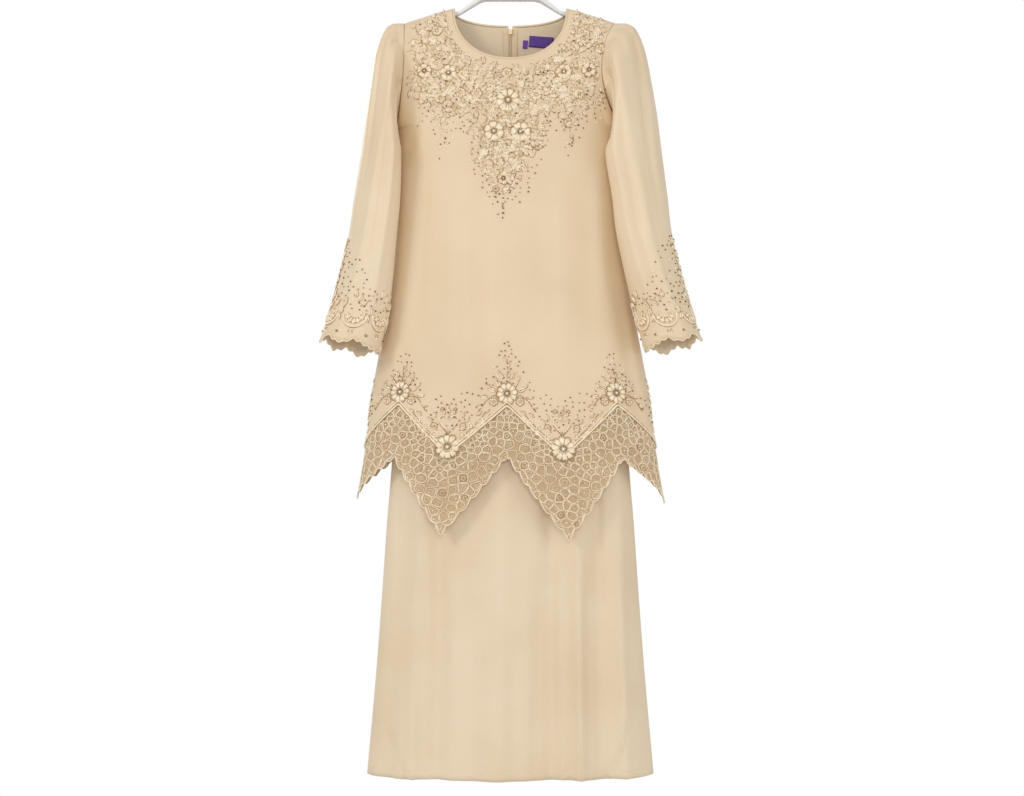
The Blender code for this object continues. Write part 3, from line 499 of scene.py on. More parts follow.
# Creases of a sleeve: the turn round it at the top end (0 outside, pi / 2 in front), how
# the turn changes from ring to ring, the first and last ring, width and height.
Tuck = namedtuple("Tuck", "turn lean top bottom width height")
SLEEVE_TUCKS = {
    "left": table(Tuck,
        (1.62, 0.03, -3.4, 4.8, 0.10, -11), (1.26, 0.01, -2.5, 6.0, 0.20, 7),
        (0.60, -0.01, -2.2, 8.0, 0.15, -7), (0.92, 0.00, -2.6, 3.0, 0.08, -5),
        (0.30, 0.01, 0.6, 9.0, 0.18, 3), (1.45, 0.01, 3.6, 9.8, 0.14, -4.5),
        (1.05, 0.00, 5.0, 10.5, 0.14, 3.5), (1.85, 0.00, 4.5, 10.0, 0.16, 3),
        (4.4, 0.00, -2.0, 7.0, 0.20, -7), (4.9, 0.02, -1.5, 9.0, 0.18, 5),
        (3.9, 0.00, 2.0, 9.5, 0.22, -5), (5.5, 0.00, -2.0, 4.5, 0.12, -5),
    ),
    "right": table(Tuck,
        (1.52, 0.03, -3.4, 4.6, 0.10, -11), (1.16, 0.00, -2.5, 6.4, 0.20, 7),
        (0.46, 0.00, -2.2, 7.6, 0.14, -7), (0.80, 0.01, -2.6, 3.2, 0.08, -5),
        (0.20, 0.01, 0.8, 9.0, 0.18, 3), (1.34, 0.01, 3.4, 9.6, 0.14, -5),
        (0.98, 0.00, 5.2, 10.5, 0.13, 3.5), (1.75, 0.00, 4.2, 9.8, 0.15, 3),
        (4.5, 0.00, -2.0, 6.6, 0.20, -7), (5.0, 0.00, -1.5, 9.0, 0.18, 5),
        (4.0, 0.02, 2.2, 9.5, 0.22, -5), (5.6, 0.00, -2.0, 4.2, 0.12, -5),
    ),
}
SCALLOPS = ((0.00, 10), (0.30, 14), (0.62, -2), (1.05, 9), (1.30, 8), (1.62, -1), (2.10, 7),
            (2.66, 12), (2.95, 0), (3.40, 8), (3.85, -1), (4.35, 9), (4.80, -2), (5.25, 8),
            (5.70, -3), (6.00, 5), (6.2832, 10))    # drop of the cuff's edge round it


def smooth_step(low, high, value):
    """0 below low, 1 above high, and a soft rise between them."""
    t = max(0.0, min(1.0, (value - low) / (high - low)))
    return t * t * (3 - 2 * t)


def bump(distance, width):
    """A rounded ridge, 1 at its middle."""
    return math.exp(-(distance / width) ** 2)


def creases(table, across, down):
    """How far a table of creases lifts the cloth at a point."""
    lift = 0.0
    for crease in table:
        reach = (crease.bottom - crease.top) / 3
        strength = smooth_step(crease.top, crease.top + reach, down)
        if crease.bottom < SKIRT_HEM:
            strength *= 1 - smooth_step(crease.bottom - reach, crease.bottom, down)
        if strength:
            middle = crease.x + crease.lean * (down - crease.top)
            lift += crease.height * strength * bump(across - middle, crease.width)
    return lift


def eased(half, x, y, depth):
    """The body's y, with the step at the foot of the armholes eased away from their seams."""
    near = min(1.0, 1.5 * bump(depth - ARMPIT_DEPTH, 62))
    if near < 0.03:
        return y
    limit = between(TUNIC, depth, "half_width")
    if depth < ARMPIT_DEPTH:
        limit = armhole("left" if x < 0 else "right", half, armhole_turn(depth))[0]
    share = near * smooth_step(2, 44, limit - abs(x))
    if share <= 0:
        return y
    steps = (-60, -42, -26, -10, 10, 26, 42, 60)
    soft = sum(surface(half, x, depth + step)[1] for step in steps) / len(steps)
    return y + (soft - y) * share


def with_creases(half, point):
    """A point of the tunic with its creases, which flatten out at the seams."""
    x, y, depth = point
    y = eased(half, x, y, depth)
    sign = SIGN[half]
    away = abs(y - SIDE_SEAM_Y)
    calm = smooth_step(2, 30, away) * smooth_step(20, 90, depth)
    return x, y + sign * calm * creases(TUNIC_CREASES[half], x, depth), depth


def tunic_surface(half, across, depth):
    """The outside of the tunic in metres; across runs to the right as it is looked at."""
    x = across if half == "front" else -across
    return place(*with_creases(half, surface(half, x, depth)))


def ring_table(side):
    """The sleeve's ring through the armhole, then its own rings."""
    rings = []
    for ring in SLEEVE[side]:
        middle = (ring.outer_depth + ring.inner_depth) / 2
        rings.append((Vector((ring.outer, ring.outer_y, ring.outer_depth)),
                      Vector((ring.front, ring.front_y, middle + ring.front_drop)),
                      Vector((ring.inner, ring.inner_y, ring.inner_depth)),
                      Vector((ring.back, ring.back_y, middle + ring.back_drop))))
    return rings


CUFF_RADIUS = 52.0              # of a circle as long as the cuff
CUFF_STEP = 70                  # height of the cuff's ring below the one above it
FOREARM_STEP = 108              # and of that one below the next
RINGS = {"left": ring_table("left"), "right": ring_table("right")}
LAST_RING = len(SLEEVE["left"]) - 1


def hermite(before, first, second, after, t):
    """A smooth reading between first and second."""
    return (first * (2 * t ** 3 - 3 * t ** 2 + 1) + (second - before) * (t ** 3 - 2 * t ** 2 + t) / 2
            + second * (3 * t ** 2 - 2 * t ** 3) + (after - first) * (t ** 3 - t ** 2) / 2)


def ring_at(side, number, turn):
    """A point of the sleeve's ring with that number; -1 is the ring at the armhole."""
    if number < 0:
        half = "front" if turn <= math.pi else "back"
        x, y, depth = armhole(side, half, turn if half == "front" else 2 * math.pi - turn)
        return Vector((x + 2 * SEAM, y, depth))
    return ring_point(*RINGS[side][min(number, LAST_RING)], turn)


def sleeve_point(side, turn, ring):
    """x away from the middle, y and depth of the sleeve between its rings."""
    turn %= 2 * math.pi
    low = min(math.floor(ring), LAST_RING - 1)
    points = [ring_at(side, max(number, -1), turn) for number in range(low - 1, low + 3)]
    if low + 2 > LAST_RING:
        points[3] = points[2] * 2 - points[1]
    point = hermite(*points, ring - low)
    centre_x = (ring_at(side, low + 1, 0).x + ring_at(side, low + 1, math.pi).x) / 2
    centre_y = (ring_at(side, low + 1, math.pi / 2).y + ring_at(side, low + 1, 4.7).y) / 2
    out = Vector((point.x - centre_x, point.y - centre_y, 0)).normalized()
    lift = 0.0
    for tuck in SLEEVE_TUCKS[side]:
        middle = tuck.turn + tuck.lean * (ring - tuck.top)
        gap = (turn - middle + math.pi) % (2 * math.pi) - math.pi
        reach = (tuck.bottom - tuck.top) / 3
        strength = smooth_step(tuck.top, tuck.top + reach, ring) \
            * (1 - smooth_step(tuck.bottom - reach, tuck.bottom, ring))
        lift += tuck.height * strength * bump(gap, tuck.width)
    lift *= smooth_step(-1.0, 0.1, ring) * (1 - 0.6 * bump(turn - math.pi, 0.7))
    return point + out * lift


def cuff_drop(turn):
    """How far the scalloped edge of a cuff hangs below or stands above its ring."""
    turn %= 2 * math.pi
    return along(SCALLOPS, turn) * 0.9 + 1.6 * math.sin(turn * 23)


def cuff_edge(turn):
    """The ring number at the scalloped edge."""
    return LAST_RING + cuff_drop(turn) / CUFF_STEP


def sleeve_surface(side, across, up):
    """The outside of a sleeve in metres: across runs to the right as it is looked at from
    the front, measured round the cuff from the middle of its front, and up is the height
    above the cuff's ring."""
    mirror = SIGN[side]
    turn = math.pi / 2 - mirror * across / CUFF_RADIUS
    ring = LAST_RING - up / CUFF_STEP
    if up >= CUFF_STEP:
        ring = LAST_RING - 1 - (up - CUFF_STEP) / FOREARM_STEP
    point = sleeve_point(side, turn, ring)
    return place(mirror * point.x, point.y, point.z)


def new_heap():
    """Points and faces that will become one mesh."""
    return {"points": [], "faces": []}


def add_faces(heap, points, faces):
    """Add one small shape to a heap."""
    first = len(heap["points"])
    heap["points"].extend(points)
    heap["faces"].extend([tuple(first + index for index in face) for face in faces])


def band(low, high, sides):
    """Faces between two rings of points that start at low and at high."""
    return [(low + side, low + (side + 1) % sides, high + (side + 1) % sides, high + side)
            for side in range(sides)]


def finish_piece(name, mesh, look, replaced=()):
    """Put a finished mesh in the scene, riding on the set."""
    made = bpy.data.objects.new(name, mesh)
    mesh.materials.append(look)
    bpy.context.scene.collection.objects.link(made)
    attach(made, "set")
    if replaced:
        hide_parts(*replaced)
    return made


def heap_piece(name, heap, look, replaced=()):
    """One piece from a heap of small shapes."""
    mesh = bpy.data.meshes.new(name)
    mesh.from_pydata(heap["points"], [], heap["faces"])
    mesh.update()
    mesh.shade_smooth()
    return finish_piece(name, mesh, look, replaced=replaced)


def apply_modifiers(thing):
    """Fix a piece's modifiers into its mesh."""
    bpy.ops.object.select_all(action="DESELECT")
    bpy.context.view_layer.objects.active = thing
    thing.select_set(True)
    for step in list(thing.modifiers):
        bpy.ops.object.modifier_apply(modifier=step.name)
    thing.select_set(False)


def cloth_piece(name, rows, thickness, look, replaced, closed=False, turned=False):
    """A wall of cloth through rows of points in metres, with a map of its own cut."""
    shape = bmesh.new()
    cut = shape.loops.layers.uv.new("cut")
    grid = [[shape.verts.new(point) for point in row] for row in rows]
    count = len(grid[0])
    for number, (upper, lower) in enumerate(zip(grid, grid[1:])):
        for column in range(count if closed else count - 1):
            after = (column + 1) % count
            corners = [(upper[column], column, number), (lower[column], column, number + 1),
                       (lower[after], column + 1, number + 1), (upper[after], column + 1, number)]
            if turned:
                corners = corners[::-1]
            face = shape.faces.new([corner[0] for corner in corners])
            for loop, (_, right, down) in zip(face.loops, corners):
                loop[cut].uv = (right / count, 1 - down / (len(grid) - 1))
    mesh = bpy.data.meshes.new(name)
    shape.to_mesh(mesh)
    shape.free()
    mesh.shade_smooth()
    made = finish_piece(name, mesh, look, replaced=replaced)
    wall = made.modifiers.new("wall", "SOLIDIFY")
    wall.thickness = thickness * MM
    wall.offset = -1
    wall.use_quality_normals = True
    apply_modifiers(made)
    return made


def spot_on(surface_of, across, down, lift=0.0):
    """A point of a surface with its own right, down and outward directions."""
    point = surface_of(across, down)
    right = (surface_of(across + 1, down) - point).normalized()
    below = (surface_of(across, down + 1) - point).normalized()
    out = below.cross(right).normalized()
    return point + out * lift * MM, right, below, out


def add_pad(heap, seat, outline, height, turn=0.0, shift=(0.0, 0.0)):
    """A raised, rounded pad of stitches with this outline, on its seat."""
    point, right, below, out = seat
    cosine, sine = math.cos(turn), math.sin(turn)
    count = len(outline)
    middle_a = sum(a for a, _ in outline) / count
    middle_b = sum(b for _, b in outline) / count
    points = []
    for share, rise in ((1.0, -0.3), (0.96, 0.55), (0.62, 0.95)):
        for a, b in outline:
            a = middle_a + (a - middle_a) * share
            b = middle_b + (b - middle_b) * share
            x = a * cosine - b * sine + shift[0]
            y = a * sine + b * cosine + shift[1]
            points.append(point + (right * x + below * y + out * rise * height) * MM)
    x = middle_a * cosine - middle_b * sine + shift[0]
    y = middle_a * sine + middle_b * cosine + shift[1]
    points.append(point + (right * x + below * y + out * height) * MM)
    faces = []
    for ring in (0, 1):
        faces += band(ring * count, (ring + 1) * count, count)
    for index in range(count):
        faces.append((2 * count + index, 2 * count + (index + 1) % count, 3 * count))
    faces.append(tuple(range(count))[::-1])
    add_faces(heap, points, [face[::-1] for face in faces])


def petal_outline(length, width, start=0.0, notch=0.0):
    """A petal that starts at the flower's middle and is widest near its tip."""
    shape = []
    for step in range(10):
        turn = 2 * math.pi * step / 10
        a = start + length * (0.5 - 0.5 * math.cos(turn))
        share = (a - start) / length
        b = width / 2 * math.sin(turn) * (0.45 + 0.75 * share)
        if step == 5:
            a -= notch
        shape.append((a, b))
    return shape


def leaf_outline(length, width, side=0):
    """A pointed leaf, or one half of it beside its vein."""
    shape = []
    for step in range(5):
        share = step / 4
        shape.append((length * share, width / 2 * math.sin(math.pi * share ** 0.8)))
    other = [(a, -b) for a, b in shape[3:0:-1]]
    if side == 0:
        return shape + other
    gap = width * 0.07
    inner = [(length * share, gap) for share in (0.7, 0.3)]
    half = [(a, max(b, gap)) for a, b in shape] + inner
    return half if side > 0 else [(a, -b) for a, b in half][::-1]


def add_bead(heap, seat, radius):
    """A round bead sewn down on its seat."""
    point, right, below, out = seat
    points = [point + out * radius * 1.6 * MM]
    for height, wide in ((1.25, 0.75), (0.6, 1.0), (-0.2, 0.8)):
        for step in range(7):
            turn = 2 * math.pi * step / 7
            points.append(point + (right * math.cos(turn) * wide + below * math.sin(turn) * wide
                                   + out * height) * radius * MM)
    faces = [(0, 1 + step, 1 + (step + 1) % 7) for step in range(7)]
    for ring in (0, 1):
        for step in range(7):
            after = (step + 1) % 7
            faces.append((1 + ring * 7 + step, 8 + ring * 7 + step,
                          8 + ring * 7 + after, 1 + ring * 7 + after))
    faces.append(tuple(15 + step for step in range(7)))
    add_faces(heap, points, [face[::-1] for face in faces])


def sew_bead(heaps, surface_of, chance, spot, bronze_share, smallest, largest, lift=0.0):
    """A bronze bead, or now and then a pearl, of a size between two."""
    kind = "bronze" if chance.random() < bronze_share else "pearl"
    add_bead(heaps[kind], spot_on(surface_of, *spot, lift), chance.uniform(smallest, largest))


def crowded(spot, sewn, gap):
    """Whether something sewn lies closer to a spot than the gap."""
    return any(math.hypot(spot[0] - a, spot[1] - b) < gap for a, b in sewn)


def add_cord(heap, surface_of, path, radius, lift=None, sides=5, closed=False, taper=False):
    """A cord laid on a surface along a path of (across, down) points."""
    lift = radius * 0.55 if lift is None else lift
    seats = [spot_on(surface_of, a, b, lift) for a, b in path]
    count = len(seats)
    points = []
    for index, (point, _, _, out) in enumerate(seats):
        before = seats[(index - 1) % count if closed else max(index - 1, 0)][0]
        after = seats[(index + 1) % count if closed else min(index + 1, count - 1)][0]
        ahead = (after - before).normalized()
        beside = ahead.cross(out).normalized()
        size = radius
        if taper:
            size = radius * (0.35 + 0.65 * math.sin(math.pi * (index + 0.6) / (count + 0.2)) ** 0.5)
        for step in range(sides):
            turn = 2 * math.pi * (step + 0.5) / sides
            points.append(point + (beside * math.cos(turn) + out * math.sin(turn)) * size * MM)
    faces = []
    for index in range(count if closed else count - 1):
        faces += band(index * sides, (index + 1) % count * sides, sides)
    if not closed:
        faces.append(tuple(range(sides))[::-1])
        faces.append(tuple((count - 1) * sides + step for step in range(sides)))
    add_faces(heap, points, faces)


def curl_path(across, down, size, turn, hand, turns=1.35, steps=14):
    """A scroll that winds in from its stem."""
    path = []
    for step in range(steps + 1):
        share = step / steps
        angle = turn + hand * share * turns * 2 * math.pi
        reach = size * (1 - share) ** 0.8 + size * 0.12
        path.append((across + reach * math.cos(angle), down + reach * math.sin(angle)))
    return path


def stem_path(across, down, length, turn, bend, steps=9):
    """A stem that starts at a point and bends evenly as it goes."""
    path = [(across, down)]
    for step in range(steps):
        angle = turn + bend * (step + 0.5) / steps
        across += math.cos(angle) * length / steps
        down += math.sin(angle) * length / steps
        path.append((across, down))
    return path


# The yoke's embroidery: its lower boundary as (across, depth), and its
# flowers, each with its middle, radius, number of petals and turn.
YOKE_EDGE = ((-178, 150), (-168, 176), (-150, 180), (-137, 198), (-126, 236), (-118, 238),
             (-108, 202), (-90, 190), (-74, 206), (-64, 270), (-46, 300), (-30, 330), (-14, 345),
             (4, 330), (20, 306), (38, 282), (56, 240), (72, 202), (86, 190), (96, 214),
             (102, 238), (110, 236), (118, 204), (136, 182), (158, 176), (178, 150))
YOKE_BORDER = 15.0              # plain cloth between the binding and the embroidery
Flower = namedtuple("Flower", "across depth radius petals turn")
YOKE_FLOWERS = table(Flower,
    (-4, 172, 22, 9, 0.1), (-29, 228, 18, 6, 0.4), (18, 229, 18, 6, 1.1),
    (-110, 122, 15, 6, 0.3), (-153, 118, 13, 5, 0.9), (95, 120, 14, 6, 0.2),
    (140, 116, 13, 5, 0.5), (-60, 160, 10, 6, 0.0), (46, 162, 10, 5, 0.7),
    (-131, 44, 9, 6, 0.2), (128, 46, 9, 6, 0.8), (-7, 262, 9, 6, 0.2),
    (30, 262, 10, 5, 0.6), (-22, 280, 9, 5, 0.1), (-12, 312, 11, 6, 0.3),
    (-88, 158, 9, 6, 0.5), (78, 158, 10, 6, 0.1), (-124, 168, 9, 6, 0.2),
    (122, 160, 9, 6, 0.2), (-158, 76, 9, 5, 0.5), (160, 78, 9, 5, 0.2),
    (-84, 124, 8, 5, 0.2), (72, 126, 8, 5, 0.2), (-6, 122, 9, 6, 0.2),
)
STITCH_LIFT = 0.2


def embroidery_heaps():
    """The parts of the embroidery, each of one material."""
    return {"cream": new_heap(), "gold": new_heap(), "pearl": new_heap(), "bronze": new_heap()}


def sew_flower(heaps, surface_of, flower):
    """Padded petals with a corded outline round a ring of beads."""
    seat = spot_on(surface_of, flower.across, flower.depth, STITCH_LIFT)
    radius = flower.radius
    inner = radius * 0.30
    width = 2 * math.pi * radius * 0.66 / flower.petals * 1.18
    for number in range(flower.petals):
        turn = flower.turn + 2 * math.pi * number / flower.petals
        outline = petal_outline(radius - inner, width, inner, radius * 0.11)
        add_pad(heaps["cream"], seat, outline, 1.9 + radius * 0.06, turn)
        vein = [(flower.across + math.cos(turn) * reach, flower.depth + math.sin(turn) * reach)
                for reach in (inner, radius * 0.55, radius * 0.78)]
        add_cord(heaps["gold"], surface_of, vein, 0.38, lift=2.1 + radius * 0.04, sides=4)
    ring = []
    for step in range(6 * flower.petals):
        turn = flower.turn + 2 * math.pi * step / (6 * flower.petals)
        wave = abs(math.cos((turn - flower.turn) * flower.petals / 2)) ** 0.6
        reach = radius * (0.86 + 0.20 * wave)
        ring.append((flower.across + math.cos(turn) * reach, flower.depth + math.sin(turn) * reach))
    add_cord(heaps["gold"], surface_of, ring, 0.8, closed=True)
    beads = max(5, round(radius * 0.55)) if radius > 10 else 0
    for step in range(beads):
        turn = 2 * math.pi * step / beads
        seat = spot_on(surface_of, flower.across + math.cos(turn) * inner * 0.8,
                       flower.depth + math.sin(turn) * inner * 0.8, 1.0)
        add_bead(heaps["bronze"], seat, 1.1)
    add_bead(heaps["pearl"], spot_on(surface_of, flower.across, flower.depth, 1.0), inner * 0.42)


def sew_leaf(heaps, surface_of, across, depth, length, width, turn):
    """A leaf in two padded halves beside its vein, with a dark gold cord along one side of its edge: an
    outline and painted shadow.
    """
    seat = spot_on(surface_of, across, depth, STITCH_LIFT)
    add_pad(heaps["cream"], seat, leaf_outline(length, width, 1), 1.3 + width * 0.14, turn)
    add_pad(heaps["cream"], seat, leaf_outline(length, width, -1), 1.1 + width * 0.10, turn)
    # Dark gold cord just outside one side of the leaf: an outline cord that also paints the shadow under
    # the padded edge.
    edge = [(across + math.cos(turn) * a - math.sin(turn) * b,
             depth + math.sin(turn) * a + math.cos(turn) * b)
            for a, b in leaf_outline(length * 1.04, width * 1.25)[:5]]
    add_cord(heaps["gold"], surface_of, edge, 0.6, sides=4)


def sew_sprig(heaps, surface_of, chance, inside, across, depth, length, turn):
    """A stem with leaves on both sides, which ends in a scroll, a bead or a leaf."""
    bend = chance.uniform(-1.1, 1.1)
    path = [point for point in stem_path(across, depth, length, turn, bend) if inside(*point)]
    if len(path) < 4:
        return
    add_cord(heaps["gold" if chance.random() < 0.45 else "cream"], surface_of, path,
             chance.uniform(0.6, 0.95), taper=True)
    for index in range(2, len(path) - 1, 2):
        (a, b), (after_a, after_b) = path[index], path[index + 1]
        ahead = math.atan2(after_b - b, after_a - a)
        side = 1 if (index // 2) % 2 else -1
        size = chance.uniform(7.0, 12.0)
        sew_leaf(heaps, surface_of, a, b, size, size * 0.44, ahead + side * chance.uniform(0.5, 1.0))
    (a, b), (last_a, last_b) = path[-2], path[-1]
    ahead = math.atan2(last_b - b, last_a - a)
    kind = chance.random()
    if kind < 0.45:
        hand = 1 if bend > 0 else -1
        size = chance.uniform(3.0, 4.6)
        middle_a = last_a + math.cos(ahead + hand * math.pi / 2) * size
        middle_b = last_b + math.sin(ahead + hand * math.pi / 2) * size
        add_cord(heaps["cream"], surface_of,
                 curl_path(middle_a, middle_b, size, ahead - hand * math.pi / 2, hand), 0.7)
    elif kind < 0.8:
        size = chance.uniform(7, 11)
        sew_leaf(heaps, surface_of, last_a, last_b, size, size * 0.45, ahead)
    else:
        add_bead(heaps["pearl"], spot_on(surface_of, last_a, last_b, 0.4), chance.uniform(1.3, 1.9))


def inside_yoke(across, depth):
    """Whether a point lies in the yoke's embroidered ground."""
    if abs(across) > 176:
        return False
    if abs(across) > armhole_limit(across, depth):
        return False
    if depth > along(YOKE_EDGE, across):
        return False
    if depth < shoulder_line(across) + 6:
        return False
    neck = (abs(across) / (NECK_HALF + YOKE_BORDER)) ** NECK_POWER \
        + (max(depth, 0) / (NECK_FRONT + YOKE_BORDER)) ** NECK_POWER
    return neck > 1


def armhole_limit(across, depth):
    """How far out the front reaches at a depth, less a plain margin."""
    side = "left" if across < 0 else "right"
    if depth >= ARMPIT_DEPTH or depth <= SHOULDER_FALL:
        return SHOULDER_END - 8
    return armhole(side, "front", armhole_turn(depth))[0] - 7


def sew_yoke():
    """Listed flowers, sprigs between them, and beads that scatter past the edge."""
    chance = random.Random(31)
    heaps = embroidery_heaps()

    def front(across, depth):
        return tunic_surface("front", across, depth)

    for flower in YOKE_FLOWERS:
        sew_flower(heaps, front, flower)
    filled = [(flower.across, flower.depth, flower.radius) for flower in YOKE_FLOWERS]
    for flower in YOKE_FLOWERS:
        count = 4 + round(flower.radius / 5)
        for number in range(count):
            turn = flower.turn + 2 * math.pi * (number + chance.uniform(-0.2, 0.2)) / count
            start = flower.radius * 1.12
            sew_sprig(heaps, front, chance, inside_yoke, flower.across + math.cos(turn) * start,
                      flower.depth + math.sin(turn) * start, chance.uniform(16, 30), turn)
    tries = 0
    placed = []
    while tries < 9000 and len(placed) < 900:
        tries += 1
        across, depth = chance.uniform(-176, 176), chance.uniform(6, 345)
        if not inside_yoke(across, depth):
            continue
        if any(math.hypot(across - a, depth - b) < r * 1.08 for a, b, r in filled):
            continue
        if crowded((across, depth), placed, 5.8):
            continue
        placed.append((across, depth))
        kind = chance.random()
        turn = chance.uniform(0, 2 * math.pi)
        if kind < 0.22:
            sew_sprig(heaps, front, chance, inside_yoke, across, depth, chance.uniform(11, 20), turn)
        elif kind < 0.62:
            size = chance.uniform(8, 14)
            sew_leaf(heaps, front, across, depth, size, size * chance.uniform(0.38, 0.55), turn)
        elif kind < 0.78:
            hand = chance.choice((-1, 1))
            add_cord(heaps["cream"], front, curl_path(across, depth, chance.uniform(3, 5), turn, hand),
                     0.75)
        elif kind < 0.82:
            sew_flower(heaps, front, Flower(across, depth, chance.uniform(4.6, 6.5), 5, turn))
        elif kind < 0.92:
            add_bead(heaps["pearl"], spot_on(front, across, depth, 0.3), chance.uniform(1.3, 2.2))
        else:
            add_bead(heaps["bronze"], spot_on(front, across, depth, 0.3), chance.uniform(1.2, 1.8))
    scatter_beads(heaps, front, chance)
    border_cords(heaps, front)
    return heaps


def scatter_beads(heaps, front, chance):
    """Beads that thin out below the yoke, and the string at its tip."""
    sewn = []
    for _ in range(1500):
        across = chance.uniform(-170, 170)
        edge = along(YOKE_EDGE, across)
        fall = abs(chance.gauss(0, 1)) * 15 + 3
        depth = edge + fall
        if abs(across) > armhole_limit(across, depth) - 4 or fall > 46:
            continue
        if crowded((across, depth), sewn, 7.5):
            continue
        sewn.append((across, depth))
        if len(sewn) > 190:
            break
        sew_bead(heaps, front, chance, (across, depth), 0.72, 1.0, 1.55)
    for across, top, bottom in ((-13, 350, 386), (-26, 330, 356), (0, 334, 350), (-124, 242, 262),
                                (-116, 240, 252), (104, 242, 258), (110, 240, 250)):
        depth = top
        while depth < bottom:
            kind = "pearl" if chance.random() < 0.6 else "bronze"
            add_bead(heaps[kind], spot_on(front, across + chance.uniform(-0.8, 0.8), depth),
                     chance.uniform(1.2, 1.9))
            depth += chance.uniform(6.5, 9.5)


def border_cords(heaps, front):
    """A stitched line beside the neck's plain border, down both of its sides."""
    for sign in (-1, 1):
        path = []
        for step in range(26):
            turn = math.pi / 2 * (1 - 0.62 * step / 25)
            across = (NECK_HALF + 9) * math.sin(turn) ** (2 / NECK_POWER)
            depth = (NECK_FRONT + 9) * max(0.0, math.cos(turn)) ** (2 / NECK_POWER)
            path.append((sign * across, depth + 6))
        add_cord(heaps["cream"], front, path[1:], 0.8)
        for across, depth in path[2::2]:
            add_bead(heaps["bronze"], spot_on(front, across + sign * 3.2, depth), 1.0)


# How the hem's trim sits: the raised double cord, and the flowers at its points.
HEM_CORD = 2.0
HEM_CORD_GAP = 4.8
HEM_STEPS = 300
SPIRE_HEIGHT = {"point": 24.0, "peak": 92.0, "middle": 112.0}
LENGTH_STEPS = 200
ANGLE_STEPS = 240


def half_length():
    """Length of a typical half section of the tunic, from the middle to a side seam."""
    total = 0.0
    last = None
    for step in range(LENGTH_STEPS + 1):
        across, out = round_section(math.pi / 2 * step / LENGTH_STEPS, TYPICAL.power)
        point = Vector((across * TYPICAL.half_width, out * TYPICAL.front))
        total += (point - last).length if last is not None else 0.0
        last = point
    return total


HALF_LENGTH = half_length()
ANGLES = even_angles(spread(1, ANGLE_STEPS))


def angle_at(spot):
    """The section angle at a place from -1 to 1."""
    step = max(0.0, min(ANGLE_STEPS - 1e-6, (spot + 1) / 2 * ANGLE_STEPS))
    low = int(step)
    return ANGLES[low] + (ANGLES[low + 1] - ANGLES[low]) * (step - low)


def hem_surface(half, along_hem, depth, inset=0.0):
    """The tunic's lower part in metres: along_hem is measured round the section from the
    middle, to the right as it is looked at."""
    spot = max(-1.0, min(1.0, along_hem / HALF_LENGTH))
    across, out = round_section(angle_at(spot if half == "front" else -spot), TYPICAL.power)
    x, y, depth = with_creases(half, body_point(half, across, out, depth))
    if inset:
        sign = SIGN[half]
        slope_x = across * abs(across) / TYPICAL.half_width * TYPICAL.front
        flat = Vector((slope_x, sign * max(out, 0.12) * TYPICAL.half_width / 100)).normalized()
        x -= flat.x * inset
        y -= flat.y * inset
    return place(x, y, depth)


def hem_table(half):
    """The points of a half's zigzag edge."""
    return FRONT_HEM if half == "front" else BACK_HEM


def hem_depth(half, along_hem, column):
    """Depth of the cloth's or the lace's lower edge."""
    spot = along_hem / HALF_LENGTH * (1 if half == "front" else -1)
    return hem_line(hem_table(half), [max(-1.0, min(1.0, spot))], column)[0]


def sew_hem(half):
    """The double cord on the zigzag edge, its flowers and scrolls, and the beads above."""
    chance = random.Random(57 if half == "front" else 58)
    heaps = embroidery_heaps()

    def lower(across, depth):
        return hem_surface(half, across, depth)

    limit = HALF_LENGTH - 3
    # The two gold cords lie between the cream cords and just under the lower one. They are a gold line and
    # also painted shade between and under the raised cords.
    for offset, radius, heap in ((0.4, HEM_CORD, "cream"), (HEM_CORD_GAP, HEM_CORD * 0.75, "cream"),
                                 (HEM_CORD_GAP / 2 + 0.2, 0.6, "gold"), (-1.9, 0.6, "gold")):
        path = [(across, hem_depth(half, across, "cloth") - offset * 1.3)
                for across in spread(limit, HEM_STEPS)]
        add_cord(heaps[heap], lower, rounded(path, 3), radius)
    for number, row in enumerate(hem_table(half)[1:-1]):
        across = row.place * HALF_LENGTH * (1 if half == "front" else -1)
        if number % 2:
            sew_point(heaps, lower, chance, across, row.cloth)
        else:
            middle = abs(row.place) < 0.2
            sew_peak(heaps, lower, chance, across, row.cloth,
                     SPIRE_HEIGHT["middle" if middle else "peak"])
    for sign in (-1, 1):
        sew_side(heaps, lower, chance, half, sign * (limit - 6))
    scatter_hem(heaps, lower, chance, half)
    return heaps


def rounded(path, times):
    """The same path with its corners worn off, its ends kept."""
    for _ in range(times):
        path = [path[0]] + [((a + 2 * b + c) / 4, (d + 2 * e + f) / 4) for (a, d), (b, e), (c, f)
                            in zip(path, path[1:], path[2:])] + [path[-1]]
    return path


def facing(turn, sign):
    """A turn as it is to the right of the middle, or mirrored to the left of it."""
    return turn if sign > 0 else math.pi - turn


